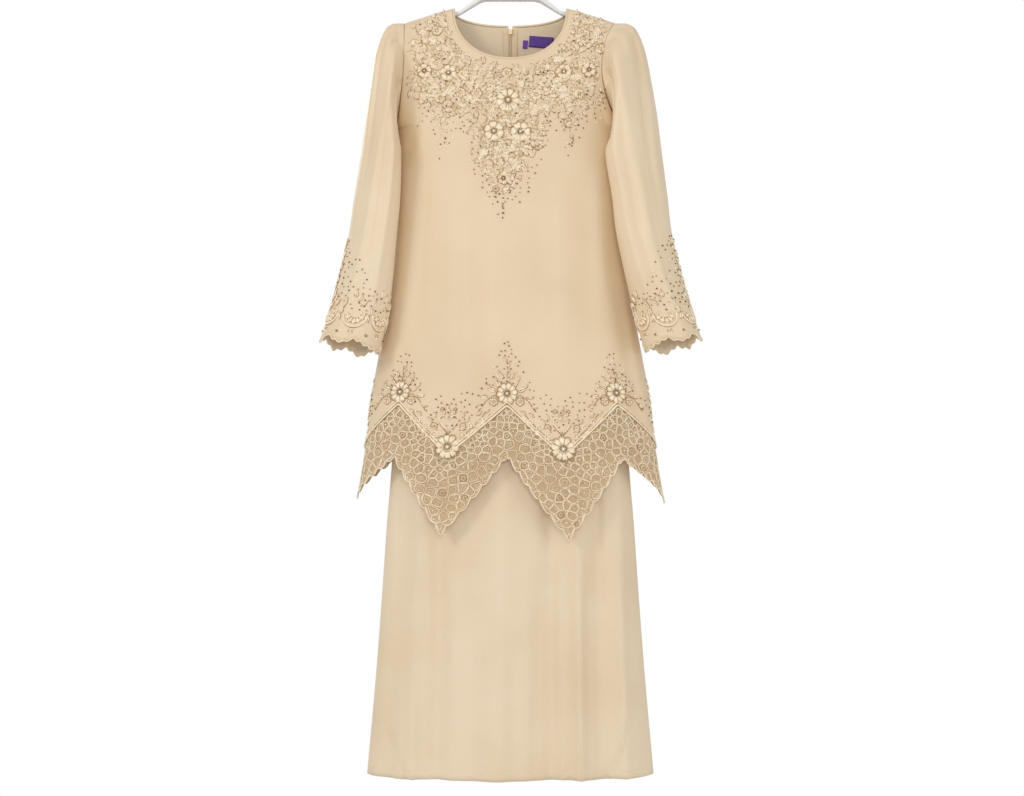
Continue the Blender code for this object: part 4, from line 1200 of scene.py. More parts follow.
def sew_point(heaps, lower, chance, across, depth):
    """The flower, heart and scrolls in a down point of the edge."""
    sew_flower(heaps, lower, Flower(across, depth - 15, 22, 10, 0.2))
    for sign in (-1, 1):
        def at(a, b, sign=sign):
            return across + sign * a, depth + b
        heart = rounded([at(1, -42), at(9, -50), at(17, -59), at(18, -67), at(12, -72), at(5, -70),
                         at(2, -63)], 1)
        add_cord(heaps["cream"], lower, heart, 1.5)
        # Dark gold cord just below the heart's cream cord: an outline and painted shadow under the raised
        # cord.
        add_cord(heaps["gold"], lower, [(a, b + 3.2) for a, b in heart[:5]], 0.8)
        for along_it, drop, size in ((12, -80, 5), (27, -52, 7)):
            add_cord(heaps["gold"], lower, curl_path(*at(along_it, drop), size, 1.0, sign), 0.7)
        for share in (0.15, 0.3, 0.45, 0.6, 0.75):
            sew_leaf(heaps, lower, *at(26 + 52 * share, -22 - 52 * share), 15, 6,
                     -0.9 if sign > 0 else math.pi + 0.9)
        for reach, drop, size in ((24, -36, 7), (40, -52, 6), (56, -62, 5)):
            add_cord(heaps["cream"], lower,
                     curl_path(*at(reach, drop), size, 0.6 if sign > 0 else 2.5, -sign), 1.3)
            add_bead(heaps["pearl"], spot_on(lower, *at(reach, drop), 0.6), 1.5)
        for reach, drop, turn, size in ((20, -44, -0.5, 14), (30, -58, -0.9, 12), (14, -26, -0.2, 13),
                                        (38, -40, -0.6, 13), (50, -70, -0.7, 12), (64, -76, -0.5, 11),
                                        (24, -66, -1.2, 11), (8, -70, -1.4, 11)):
            sew_leaf(heaps, lower, *at(reach, drop), size, size * 0.42, facing(turn, sign))
        add_cord(heaps["gold"], lower, [at(12, -22), at(26, -34), at(44, -50), at(60, -68), at(70, -80)],
                 0.8)
    for drop in (-66, -74, -82):
        sew_leaf(heaps, lower, across, depth + drop, 9, 4, -math.pi / 2 + chance.uniform(-0.5, 0.5))


def sew_peak(heaps, lower, chance, across, depth, height):
    """The flower at a peak of the edge, with a spire of leaves and beads above it."""
    sew_flower(heaps, lower, Flower(across, depth - 21, 19, 10, 0.5))
    for sign in (-1, 1):
        def at(a, b, sign=sign):
            return across + sign * a, depth + b
        sew_flower(heaps, lower, Flower(*at(24, -6), 7, 5, 0.3))
        for reach, drop, turn, size in ((12, -32, -1.0, 15), (20, -24, -0.4, 16), (8, -46, -1.2, 13),
                                        (34, -14, -0.1, 13), (30, -30, -0.7, 11), (18, -42, -0.9, 10),
                                        (44, 2, 0.2, 12), (40, -12, -0.4, 9)):
            sew_leaf(heaps, lower, *at(reach, drop), size, size * 0.45, facing(turn, sign))
        add_cord(heaps["gold"], lower, [at(10, -10), at(24, -18), at(38, -8), at(52, 12)], 0.8)
        add_cord(heaps["cream"], lower, curl_path(*at(16, -54), 5, 0.5, -sign), 0.9)
    add_cord(heaps["gold"], lower, [(across, depth - 28), (across + 2, depth - height * 0.5),
                                    (across, depth - height * 0.72)], 0.7)
    for share in (0.36, 0.44, 0.52, 0.60, 0.68):
        side = chance.choice((-1, 1))
        sew_leaf(heaps, lower, across, depth - height * share, 10, 4,
                 -math.pi / 2 + side * chance.uniform(0.4, 0.9))
    sewn = []
    for _ in range(260):
        up = chance.uniform(24, height)
        spread = 6 + (height - up) * 0.52
        spot = (across + chance.uniform(-spread, spread), depth - up)
        if crowded(spot, sewn, 7.0):
            continue
        sewn.append(spot)
        sew_bead(heaps, lower, chance, spot, 0.8, 1.0, 1.7)


def sew_side(heaps, lower, chance, half, across):
    """Leaves and scrolls that climb a side seam."""
    sign = -1 if across > 0 else 1
    depth = hem_depth(half, across, "cloth")
    for step in range(9):
        up = 8 + step * 13
        turn = -math.pi / 2 + sign * chance.uniform(0.2, 1.1)
        sew_leaf(heaps, lower, across + sign * chance.uniform(0, 8), depth - up, 12, 5, turn)
        if step % 2:
            add_cord(heaps["cream"], lower, curl_path(across + sign * 12, depth - up, 4.5, turn, sign),
                     0.85)


def scatter_hem(heaps, lower, chance, half):
    """Beads in arcs above the zigzag edge."""
    sewn = []
    limit = HALF_LENGTH - 8
    for _ in range(2600):
        across = chance.uniform(-limit, limit)
        edge = hem_depth(half, across, "cloth")
        above = chance.uniform(34, 96)
        crest = 712 + 8 * math.cos(across / HALF_LENGTH * 9)
        if edge - above < crest - 16 or chance.random() < (above - 34) / 90:
            continue
        spot = (across, edge - above)
        if crowded(spot, sewn, 8.2):
            continue
        sewn.append(spot)
        sew_bead(heaps, lower, chance, spot, 0.8, 1.0, 1.6)


# The lace: how far apart its cells are, and its scalloped edge.
CELL = 10.8
LACE_CORD = 1.05
LOBE = 17.0
LOBE_DEPTH = 8.0
LACE_EDGE_STEPS = 620
NET_COLUMNS = 260


def lace_edge(half, along_hem):
    """Depth of the lace's scalloped lower edge."""
    lobe = abs(math.sin(math.pi * along_hem / LOBE + 0.6 * math.sin(along_hem / 31))) ** 0.7
    return hem_depth(half, along_hem, "lace") + LOBE_DEPTH * (lobe - 0.75)


def lace_surface(half, along_hem, depth):
    """The outside of the lace, which lies behind the cloth's edge."""
    wave = 2.2 * math.sin(along_hem / 23) * smooth_step(760, 930, depth)
    point = hem_surface(half, along_hem, depth, CLOTH + LAYER_GAP)
    sign = SIGN[half]
    side = smooth_step(0, 40, HALF_LENGTH - abs(along_hem))
    point.y += sign * wave * side * MM
    return point


def lace_ground(half):
    """Rows of points on the net that the cords are worked on."""
    limit = HALF_LENGTH - 1.0
    rows = []
    for number in range(LACE_ROWS * 2 + 1):
        share = number / (LACE_ROWS * 2)
        row = []
        for across in spread(limit, NET_COLUMNS):
            top = hem_depth(half, across, "cloth") - LACE_TUCK
            depth = top + (lace_edge(half, across) - top) * share
            row.append(lace_surface(half, across, depth))
        rows.append(row)
    return rows


def lace_cells(half, chance):
    """Middles of the cells, spread evenly but not in rows."""
    limit = HALF_LENGTH - 5
    middles = []
    for _ in range(14000):
        across = chance.uniform(-limit, limit)
        top = hem_depth(half, across, "cloth") - 4
        bottom = lace_edge(half, across) - 2
        depth = chance.uniform(700, 950)
        if not top < depth < bottom:
            continue
        patches = math.sin(across / 21 + 1) * math.sin(depth / 17)
        gap = CELL * (0.70 + 0.5 * smooth_step(0, 70, depth - top) + 0.22 * patches)
        if all(math.hypot(across - a, depth - b) > gap for a, b in middles):
            middles.append((across, depth))
    return middles


def work_lace(half):
    """Cords laid round cells of the net, with scrolls, fans and knots in some of them."""
    chance = random.Random(77 if half == "front" else 78)
    heaps = embroidery_heaps()

    def net(across, depth):
        return lace_surface(half, across, depth)

    middles = lace_cells(half, chance)
    real = len(middles)
    limit = HALF_LENGTH - 2
    for across in spread(limit, 180):
        middles.append((across, lace_edge(half, across) + CELL * 0.5))
        middles.append((across, hem_depth(half, across, "cloth") - CELL * 0.9))
    corners, _, faces, _, _, _ = geometry.delaunay_2d_cdt([Vector(point) for point in middles],
                                                          [], [], 0, 1e-4)
    around = {index: [] for index in range(len(corners))}
    for face in faces:
        a, b, c = (corners[index] for index in face)
        centre = circle_middle(a, b, c)
        for index in face:
            around[index].append(centre)
    for index, hubs in around.items():
        if index >= real:
            continue
        middle = corners[index]
        ring = cell_ring(half, middle, hubs)
        if len(ring) < 6:
            continue
        add_cord(heaps["cream"], net, ring, LACE_CORD * chance.uniform(0.8, 1.15), sides=4, closed=True)
        fill_cell(heaps, net, chance, middle, ring)
    edge = [(across, lace_edge(half, across) - 1.0) for across in spread(limit, LACE_EDGE_STEPS)]
    add_cord(heaps["cream"], net, edge, 1.35, sides=5)
    inner = [(across, depth - 4.5) for across, depth in edge]
    add_cord(heaps["cream"], net, rounded(inner, 4), 0.6, sides=4)
    return heaps


def circle_middle(a, b, c):
    """The point as far from each of three others."""
    d = 2 * (a.x * (b.y - c.y) + b.x * (c.y - a.y) + c.x * (a.y - b.y))
    if abs(d) < 1e-6:
        return (a + b + c) / 3
    x = (a.length_squared * (b.y - c.y) + b.length_squared * (c.y - a.y)
         + c.length_squared * (a.y - b.y)) / d
    y = (a.length_squared * (c.x - b.x) + b.length_squared * (a.x - c.x)
         + c.length_squared * (b.x - a.x)) / d
    return Vector((x, y))


def cell_ring(half, middle, hubs):
    """A rounded closed path just inside a cell's corners."""
    hubs = [middle + (hub - middle) * min(1.0, CELL * 1.1 / max((hub - middle).length, 0.1))
            for hub in hubs]
    hubs.sort(key=lambda hub: math.atan2(hub.y - middle.y, hub.x - middle.x))
    if len(hubs) < 4:
        return []
    limit = HALF_LENGTH - 3
    ring = []
    for first, second in zip(hubs, hubs[1:] + hubs[:1]):
        for share in (0.0, 0.5):
            spot = middle + (first.lerp(second, share) - middle) * (0.93 if share else 0.86)
            x = max(-limit, min(limit, spot.x))
            ring.append((x, min(spot.y, lace_edge(half, x) - 2)))
    return ring


def fill_cell(heaps, net, chance, middle, ring):
    """What is worked inside one cell of the lace."""
    kind = chance.random()
    if kind < 0.20:
        small = [(middle.x + (a - middle.x) * 0.5, middle.y + (b - middle.y) * 0.5) for a, b in ring]
        add_cord(heaps["cream"], net, small, 0.6, sides=4, closed=True)
    elif kind < 0.34:
        turn = chance.uniform(0, 2 * math.pi)
        add_cord(heaps["cream"], net, curl_path(middle.x, middle.y, 3.6, turn, 1, 1.1, 9), 0.65, sides=4)
    elif kind < 0.44:
        sew_flower(heaps, net, Flower(middle.x, middle.y, chance.uniform(4.0, 5.4), 5, kind * 40))
    elif kind < 0.60:
        turn = chance.uniform(0, 2 * math.pi)
        for swing in (-0.55, 0.0, 0.55):
            ends = [(middle.x - math.cos(turn) * 4, middle.y - math.sin(turn) * 4),
                    (middle.x, middle.y),
                    (middle.x + math.cos(turn + swing) * 4.6, middle.y + math.sin(turn + swing) * 4.6)]
            add_cord(heaps["cream"], net, ends, 0.5, sides=4)
    elif kind < 0.68:
        add_bead(heaps["pearl"], spot_on(net, middle.x, middle.y, 0.3), 1.5)


def sew_cuff(side):
    """Shells, leaves and beads above the scalloped edge of a cuff, all round it."""
    chance = random.Random(91 if side == "left" else 92)
    heaps = embroidery_heaps()
    mirror = SIGN[side]
    reach = math.pi * CUFF_RADIUS

    def cuff(across, down):
        return sleeve_surface(side, across, -down)

    def outer(across):
        """0 on the inner side of the sleeve, 1 on its outer side."""
        turn = math.pi / 2 - mirror * across / CUFF_RADIUS
        return 0.5 + 0.5 * math.cos(turn)

    def at(across, up):
        return (mirror * across, -up)

    for start in (-44, 8, 62, 118, -98, -146):
        for size, rise in ((21, 0), (15, 2), (9.5, 4)):
            shell = []
            for step in range(15):
                turn = math.pi * (0.02 + 0.96 * step / 14)
                shell.append(at(start + size * math.cos(turn), 46 + rise - size * math.sin(turn) * 1.15))
            add_cord(heaps["cream"], cuff, shell, 1.9 if size > 20 else 1.3, sides=6)
            # Dark gold cord just below each shell: an outline cord and painted shadow under the raised
            # cream cord.
            add_cord(heaps["gold"], cuff, [(a, b + 2.2) for a, b in shell], 0.85, sides=4)
        for petal in range(5):
            turn = math.pi * (0.14 + 0.18 * petal)
            seat = spot_on(cuff, *at(start, 44), STITCH_LIFT)
            angle = math.atan2(math.sin(turn), math.cos(turn) * mirror)
            add_pad(heaps["cream"], seat, petal_outline(12, 6, 6), 2.4, angle)
        for number in range(3):
            sew_leaf(heaps, cuff, *at(start + 26 + number * 1.5, 32 + number * 11), 17, 7.2,
                     -math.pi / 2 + mirror * (0.6 - 0.5 * number))
            sew_leaf(heaps, cuff, *at(start - 4 + number * 6, 58 + number * 6), 15, 6.4,
                     -math.pi / 2 - mirror * (0.9 - 0.5 * number))
        for up, along_it, size in ((14, 2, 5), (14, -4, 4.5), (11, 24, 5)):
            add_cord(heaps["gold"], cuff, curl_path(*at(start + along_it, up), size * 0.6, 1.2, 1, 0.7, 8),
                     0.5, sides=4)
        add_bead(heaps["pearl"], spot_on(cuff, *at(start, 9), 0.2), 1.7)
        add_bead(heaps["bronze"], spot_on(cuff, *at(start + 22, 10), 0.2), 1.5)
    top = mirror * math.pi / 2 * CUFF_RADIUS
    for step in range(12):
        up = 44 + step * 11
        swing = 1 if step % 2 else -1
        a = top + swing * 3 + 4 * math.sin(step)
        for lean in (-1, 1):
            sew_leaf(heaps, cuff, a, -up, 17 - step * 0.5, 6.6, -math.pi / 2 + lean * 0.75)
    add_cord(heaps["gold"], cuff, [(top + 4 * math.sin(step * 0.6), -40 - step * 9) for step in range(15)],
             0.8, sides=4)
    sewn = []
    for _ in range(1600):
        across = chance.uniform(-reach, reach)
        height = 60 + 125 * outer(across) ** 1.6
        up = 50 + (height - 50) * chance.random() ** 1.15
        spot = (across, -up)
        if crowded(spot, sewn, 7.4):
            continue
        sewn.append(spot)
        sew_bead(heaps, cuff, chance, spot, 0.8, 1.0, 1.7, lift=0.1)
        if len(sewn) > 170:
            break
    rim = []
    steps = 220
    for step in range(steps):
        across = -reach + 2 * reach * step / steps
        turn = math.pi / 2 - mirror * across / CUFF_RADIUS
        rim.append((across, cuff_drop(turn) - 0.6))
    add_cord(heaps["cream"], cuff, rim, 1.3, lift=0.1, closed=True)
    return heaps


def sleeve_piece(side, look):
    """A sleeve in fine cloth, with a gathered head and a scalloped cuff."""
    rows = []
    total = (LAST_RING + 1) * SLEEVE_STEPS
    mirror = SIGN[side]
    for number in range(total + 1):
        row = []
        for step in range(SLEEVE_SIDES):
            turn = 2 * math.pi * step / SLEEVE_SIDES
            share = number / total
            end = cuff_edge(turn)
            ring = -1 + (LAST_RING + 1) * share
            if ring > LAST_RING - 2:
                low = LAST_RING - 2
                ring = low + (ring - low) / 2 * (end - low)
            point = sleeve_point(side, turn, ring)
            row.append(place(mirror * point.x, point.y, point.z))
        rows.append(row)
    return cloth_piece("sleeve_%s_cloth" % side, rows, CLOTH, look,
                       ["sleeve_" + side], closed=True, turned=side == "right")


def tunic_pieces(satin):
    """The front, and two backs that part at the zip's notch."""
    places = hem_places(FRONT_HEM)
    rows = panel_rows("front", places, hem_line(FRONT_HEM, places, "cloth"))
    front = [[place(*with_creases("front", point)) for point in row] for row in rows]
    pieces = {"front": cloth_piece("tunic_front_cloth", front, CLOTH, satin,
                                   ["tunic_front"])}
    places = hem_places(BACK_HEM)
    middle = len(places) // 2
    rows = panel_rows("back", places, hem_line(BACK_HEM, places, "cloth"))
    for side, half, sign in (("left", [row[:middle + 1] for row in rows], -1),
                             ("right", [row[middle:] for row in rows], 1)):
        edge = middle if sign < 0 else 0
        for row in half:
            _, y, depth = row[edge]
            part = max(0.0, 1 - max(0.0, depth - NECK_BACK) / NOTCH_DEPTH)
            row[edge] = (sign * max(FLAT_SEAM, NOTCH_HALF * part), y, depth)
        back = [[place(*with_creases("back", point)) for point in row[::-1]] for row in half]
        pieces["back_" + side] = cloth_piece("tunic_back_%s_cloth" % side, back, CLOTH, satin,
                                             ["tunic_back_" + side])
    return pieces


SKIRT_CREASE = 2.3              # the skirt's creases stand this much higher than listed


def skirt_row(half, depth, places, angles):
    """One row of points across a half of the skirt, with its folds and creases."""
    row = []
    sign = SIGN[half]
    for spot, angle in zip(places, angles):
        across, out = round_section(angle, between(SKIRT, depth, "power"))
        x, y, _ = skirt_point(half, across, out, spot, depth)
        lift = creases(SKIRT_CREASES[half], x, depth)
        row.append(place(x, y + sign * lift * SKIRT_CREASE * min(1.0, out * 1.6), depth))
    return row if half == "front" else row[::-1]


def skirt_pieces(satin):
    """Front and back gores, with their folds and creases."""
    places = spread(1, SKIRT_COLUMNS)
    places[1:1] = [-SEAM_COLUMN]
    places[-1:-1] = [SEAM_COLUMN]
    angles = even_angles(places)
    pieces = {}
    for half in ("front", "back"):
        rows = []
        for number in range(SKIRT_ROWS + 1):
            depth = SKIRT_TOP + (SKIRT_HEM - SKIRT_TOP) * number / SKIRT_ROWS
            rows.append(skirt_row(half, depth, places, angles))
        pieces[half] = cloth_piece("skirt_%s_cloth" % half, rows, CLOTH, satin,
                                   ["skirt_" + half])
    return pieces


def skirt_hem_stitches(thread):
    """A line of stitches that holds the skirt's turned hem."""
    heap = new_heap()
    for half in ("front", "back"):
        spots = [-0.97 + 1.94 * step / 260 for step in range(261)]
        rows = [skirt_row(half, depth, spots, even_angles(spots)) for depth in (1360.0, 1361.0)]
        for index in range(1, len(spots) - 1):
            point = rows[0][index]
            right = (rows[0][index + 1] - rows[0][index - 1]).normalized()
            below = (rows[1][index] - point).normalized()
            out = below.cross(right).normalized()
            add_pad(heap, (point + out * 0.1 * MM, right, below, out),
                    [(-0.9, -0.25), (0.9, -0.25), (0.9, 0.25), (-0.9, 0.25)], 0.35)
    return heap_piece("skirt_hem_stitches", heap, thread)


def waistband_piece(look):
    """Elastic gathered in its casing: a band with close, uneven ruffles."""
    chance = random.Random(5)
    count = 420
    wobble = [chance.uniform(-0.5, 0.5) for _ in range(count)]
    rows = []
    for level in range(9):
        depth = BAND_TOP + BAND_HEIGHT * level / 8
        swell = math.sin(math.pi * level / 8)
        row = []
        for step in range(count):
            turn = 2 * math.pi * step / count
            half = "front" if math.sin(turn) >= 0 else "back"
            across, out = round_section(math.asin(max(-1, min(1, -math.cos(turn)))),
                                        between(SKIRT, depth, "power"))
            sign = SIGN[half]
            push = (0.7 * math.sin(step * math.pi / 2.5) + wobble[step]) * (0.35 + 0.5 * swell)
            x = across * (between(SKIRT, depth, "half_width") + push)
            y = SKIRT_SEAM_Y + sign * out * (between(SKIRT, depth, half) + push)
            row.append(place(x, y, depth))
        rows.append(row)
    return cloth_piece("skirt_waistband_cloth", rows, 1.6, look,
                       ["skirt_waistband"], closed=True)


def tube_piece(name, points, radius, look, replaced, sides):
    """A soft tube along points in metres, its two ends rounded off."""
    heap = new_heap()
    count = len(points)
    rings = []
    side = None
    for index, point in enumerate(points):
        ahead = (points[min(index + 1, count - 1)] - points[max(index - 1, 0)]).normalized()
        if side is None:
            side = ahead.cross(Vector((0, 0, 1))).normalized()
        side = (side - ahead * side.dot(ahead)).normalized()
        up = ahead.cross(side)
        size = radius * (0.55 if index in (0, count - 1) else 1.0)
        rings.extend(point + (side * math.cos(2 * math.pi * step / sides)
                              + up * math.sin(2 * math.pi * step / sides)) * size * MM
                     for step in range(sides))
    faces = []
    for index in range(count - 1):
        faces += band(index * sides, (index + 1) * sides, sides)
    faces.append(tuple(range(sides))[::-1])
    faces.append(tuple((count - 1) * sides + step for step in range(sides)))
    add_faces(heap, rings, faces)
    return heap_piece(name, heap, look, replaced=replaced)


def binding_piece(satin):
    """The rolled binding round the neck, from one side of the zip to the other."""
    edges = {}
    for half, hem in (("front", FRONT_HEM), ("back", BACK_HEM)):
        places = hem_places(hem)
        top = panel_rows(half, places, hem_line(hem, places, "cloth"))[0]
        first = round((1 - NECK_SHARE) * (len(top) - 1) / 2)
        sign = 1 if half == "front" else -1
        edges[half] = [Vector((x, y + sign * CLOTH / 2, depth + CLOTH / 2))
                       for x, y, depth in top[first:len(top) - first]]
    front, back = edges["front"], edges["back"]
    middle = len(back) // 2
    ends = [Vector((sign * NOTCH_HALF, back[middle].y, back[middle].z)) for sign in (-1, 1)]
    route = [ends[0]] + back[1:middle - 1][::-1] + front + back[middle + 2:-1][::-1] + [ends[1]]
    points = []
    for index, point in enumerate(route):
        ahead = (route[min(index + 1, len(route) - 1)] - route[max(index - 1, 0)]).normalized()
        upwards = 1 if point.y > 0 else 0.4
        inwards = Vector((-point.x, -point.y * 0.6, -point.z * upwards))
        inwards -= ahead * inwards.dot(ahead)
        points.append(place(*(point + inwards.normalized() * (BINDING + BINDING_GAP - 0.5))))
    return tube_piece("neck_binding_cloth", points, BINDING, satin,
                      ["neck_binding"], sides=12)


def zip_pieces(tape_look, coil_look):
    """Woven tapes and a coil of nylon, inside the centre back."""
    inset = CLOTH + LAYER_GAP
    depths = [ZIP_TOP + (ZIP_END - 9 - ZIP_TOP) * step / 70 for step in range(71)]
    tapes = {}
    for side, left, right in (("left", -TAPE_OUTER, -TAPE_INNER), ("right", TAPE_INNER, TAPE_OUTER)):
        rows = []
        for depth in depths:
            row = [with_creases("back", surface("back", right + (left - right) * step / 6, depth))
                   for step in range(7)]
            rows.append([place(x, y - inset, depth) for x, y, depth in row])
        tapes[side] = cloth_piece("zip_tape_%s_cloth" % side, rows, TAPE, tape_look,
                                  ["zip_tape_" + side])
    heap = new_heap()
    depth = ZIP_TOP + SLIDER_LENGTH + 4 * LAYER_GAP
    while depth < ZIP_END - 9:
        _, y, _ = with_creases("back", surface("back", 0, depth))
        middle = place(0, y - inset - COIL / 2, depth)
        width, height, deep = COIL_HALF * MM, 0.45 * MM, COIL / 2 * MM
        points = []
        for across, out in ((-1, -0.5), (-0.6, -1), (0.6, -1), (1, -0.5), (1, 0.5), (0.6, 1), (-0.6, 1),
                            (-1, 0.5)):
            for up in (-1, 1):
                points.append(middle + Vector((across * width, out * deep, up * height)))
        faces = [(2 * step, 2 * step + 1, (2 * step + 3) % 16, (2 * step + 2) % 16) for step in range(8)]
        faces += [tuple(range(0, 16, 2))[::-1], tuple(range(1, 16, 2))]
        add_faces(heap, points, faces)
        depth += 1.25
    return tapes, heap_piece("zip_coil_teeth", heap, coil_look,
                             replaced=["zip_coil"])


def colour(code):
    """An sRGB hex colour as linear red, green, blue and alpha."""
    channels = [int(code[start:start + 2], 16) / 255 for start in (1, 3, 5)]
    linear = [part / 12.92 if part <= 0.04045 else ((part + 0.055) / 1.055) ** 2.4
              for part in channels]
    return (*linear, 1.0)


def node(tree, kind, settings=(), inputs=(), links=()):
    """Add a node with its settings, its input values and the sockets that feed it."""
    made = tree.nodes.new(kind)
    for name, value in dict(settings).items():
        setattr(made, name, value)
    for name, value in dict(inputs).items():
        made.inputs[name].default_value = value
    for name, source in dict(links).items():
        tree.links.new(source, made.inputs[name])
    return made


def new_look(name, roughness, settings=()):
    """A material with its tree, its shader and the object's own coordinates."""
    made = bpy.data.materials.new(name)
    made.use_nodes = True
    tree = made.node_tree
    shader = tree.nodes["Principled BSDF"]
    shader.inputs["Roughness"].default_value = roughness
    for socket, value in dict(settings).items():
        shader.inputs[socket].default_value = value
    return made, tree, shader, node(tree, "ShaderNodeTexCoord").outputs["Object"]


def mixed_colours(tree, factor, low, high, first, second):
    """Two colours that change into each other as the factor goes from low to high."""
    ramp = node(tree, "ShaderNodeValToRGB", links={"Fac": factor})
    ramp.color_ramp.elements[0].position = low
    ramp.color_ramp.elements[1].position = high
    ramp.color_ramp.elements[0].color = colour(first)
    ramp.color_ramp.elements[1].color = colour(second)
    return ramp.outputs["Color"]


def paint(tree, shader, factor, low, high, first, second):
    """Colour a surface with two colours mixed by a factor."""
    mixed = mixed_colours(tree, factor, low, high, first, second)
    tree.links.new(mixed, shader.inputs["Base Color"])


def bump_of(tree, shader, height, strength, distance):
    """Let a height tilt the surface's shading."""
    relief = node(tree, "ShaderNodeBump", inputs={"Strength": strength, "Distance": distance * MM},
                  links={"Height": height})
    tree.links.new(relief.outputs["Normal"], shader.inputs["Normal"])


WAVE = 6.3                      # 1 / Scale where a light or a dark band of the texture is 1 wide


def crepe_look(name, deep, pale):
    """Satin-backed crepe of polyester: close threads about 0.3 mm apart, drawn 0.9 mm wide
    so that they show, a slightly pebbled face and a soft, low gloss."""
    made, tree, shader, where = new_look(name, 0.46, {
        "Sheen Weight": 0.25, "Sheen Roughness": 0.4, "Specular IOR Level": 0.42, "IOR": 1.5,
        "Sheen Tint": colour("#fff4e2")})
    pebbles = node(tree, "ShaderNodeTexNoise", inputs={"Scale": 1 / (1.4 * MM), "Detail": 3.0,
                                                       "Roughness": 0.6}, links={"Vector": where})
    drift = node(tree, "ShaderNodeTexNoise", inputs={"Scale": 1 / (160 * MM), "Detail": 2.0},
                 links={"Vector": where})
    threads = node(tree, "ShaderNodeTexWave", {"wave_type": "BANDS", "bands_direction": "DIAGONAL"},
                   {"Scale": 1 / (5.6 * MM), "Distortion": 3.0, "Detail": 2.0, "Detail Scale": 4.0},
                   {"Vector": where})
    tone = mixed_colours(tree, drift.outputs["Fac"], 0.3, 0.7, deep, pale)
    fleck = node(tree, "ShaderNodeMix", {"data_type": "RGBA", "blend_type": "SOFT_LIGHT"},
                 {"Factor": 0.16}, {"A": tone, "B": pebbles.outputs["Color"]})
    tree.links.new(fleck.outputs["Result"], shader.inputs["Base Color"])
    both = node(tree, "ShaderNodeMath", {"operation": "ADD"}, {},
                {0: pebbles.outputs["Fac"], 1: threads.outputs["Fac"]})
    bump_of(tree, shader, both.outputs["Value"], 0.22, 0.10)
    return made


def thread_look(name, deep, pale, roughness, sheen, strand):
    """Embroidery thread of trilobal polyester, laid side by side: each pad shows fine
    strands and a silky gloss along them."""
    made, tree, shader, where = new_look(name, roughness, {
        "Sheen Weight": sheen, "Sheen Roughness": 0.3, "Specular IOR Level": 0.6,
        "Anisotropic": 0.35})
    tints = node(tree, "ShaderNodeTexNoise", inputs={"Scale": 1 / (9 * MM), "Detail": 2.0},
                 links={"Vector": where})
    strands = node(tree, "ShaderNodeTexWave", {"wave_type": "BANDS", "bands_direction": "DIAGONAL"},
                   {"Scale": 1 / (strand * WAVE * MM), "Distortion": 2.0, "Detail": 1.0},
                   {"Vector": where})
    paint(tree, shader, tints.outputs["Fac"], 0.3, 0.7, deep, pale)
    bump_of(tree, shader, strands.outputs["Fac"], 0.35, 0.25)
    return made


def bead_look(name, deep, pale, metallic, roughness):
    """Small glass or metallised beads: a hard gloss, and each one a little different."""
    made, tree, shader, where = new_look(name, roughness, {
        "Metallic": metallic, "Coat Weight": 0.5, "Coat Roughness": 0.1})
    tints = node(tree, "ShaderNodeTexNoise", inputs={"Scale": 1 / (7 * MM), "Detail": 1.0},
                 links={"Vector": where})
    paint(tree, shader, tints.outputs["Fac"], 0.35, 0.65, deep, pale)
    grain = node(tree, "ShaderNodeTexNoise", inputs={"Scale": 1 / (1.0 * MM)}, links={"Vector": where})
    bump_of(tree, shader, grain.outputs["Fac"], 0.15, 0.1)
    return made


def net_look():
    """Tulle of fine nylon, hexagons of about 1 mm: one sees partly through it."""
    made, tree, shader, where = new_look("lace_net_tulle", 0.75, {"Sheen Weight": 0.2, "Alpha": 0.56})
    holes = node(tree, "ShaderNodeTexVoronoi", {"feature": "DISTANCE_TO_EDGE"},
                 {"Scale": 1 / (2.2 * MM)}, {"Vector": where})
    paint(tree, shader, holes.outputs["Distance"], 0.02, 0.16, "#efd8b0", "#ccab7c")
    bump_of(tree, shader, holes.outputs["Distance"], 0.4, 0.2)
    return made


def woven_look(name, deep, pale, thread, roughness=0.6, sheen=0.2):
    """A close plain weave of polyester, such as a zip's tape, a casing or a satin label."""
    made, tree, shader, where = new_look(name, roughness, {"Sheen Weight": sheen})
    across, down = (node(tree, "ShaderNodeTexWave", {"bands_direction": direction},
                         {"Scale": 1 / (thread * WAVE * MM), "Distortion": 0.6},
                         {"Vector": where}).outputs["Fac"] for direction in "XZ")
    weave = node(tree, "ShaderNodeMath", {"operation": "MAXIMUM"}, {}, {0: across, 1: down})
    paint(tree, shader, weave.outputs["Value"], 0.2, 0.9, deep, pale)
    bump_of(tree, shader, weave.outputs["Value"], 0.3, 0.15)
    return made


def moulded_look(name, deep, pale, grain, roughness, metallic=0.0):
    """Moulded plastic or drawn wire: an even colour with faint flow marks."""
    made, tree, shader, where = new_look(name, roughness, {"Metallic": metallic})
    flow = node(tree, "ShaderNodeTexNoise", inputs={"Scale": 1 / (grain * MM), "Detail": 4.0},
                links={"Vector": where})
    paint(tree, shader, flow.outputs["Fac"], 0.3, 0.7, deep, pale)
    bump_of(tree, shader, flow.outputs["Fac"], 0.08, 0.1)
    return made


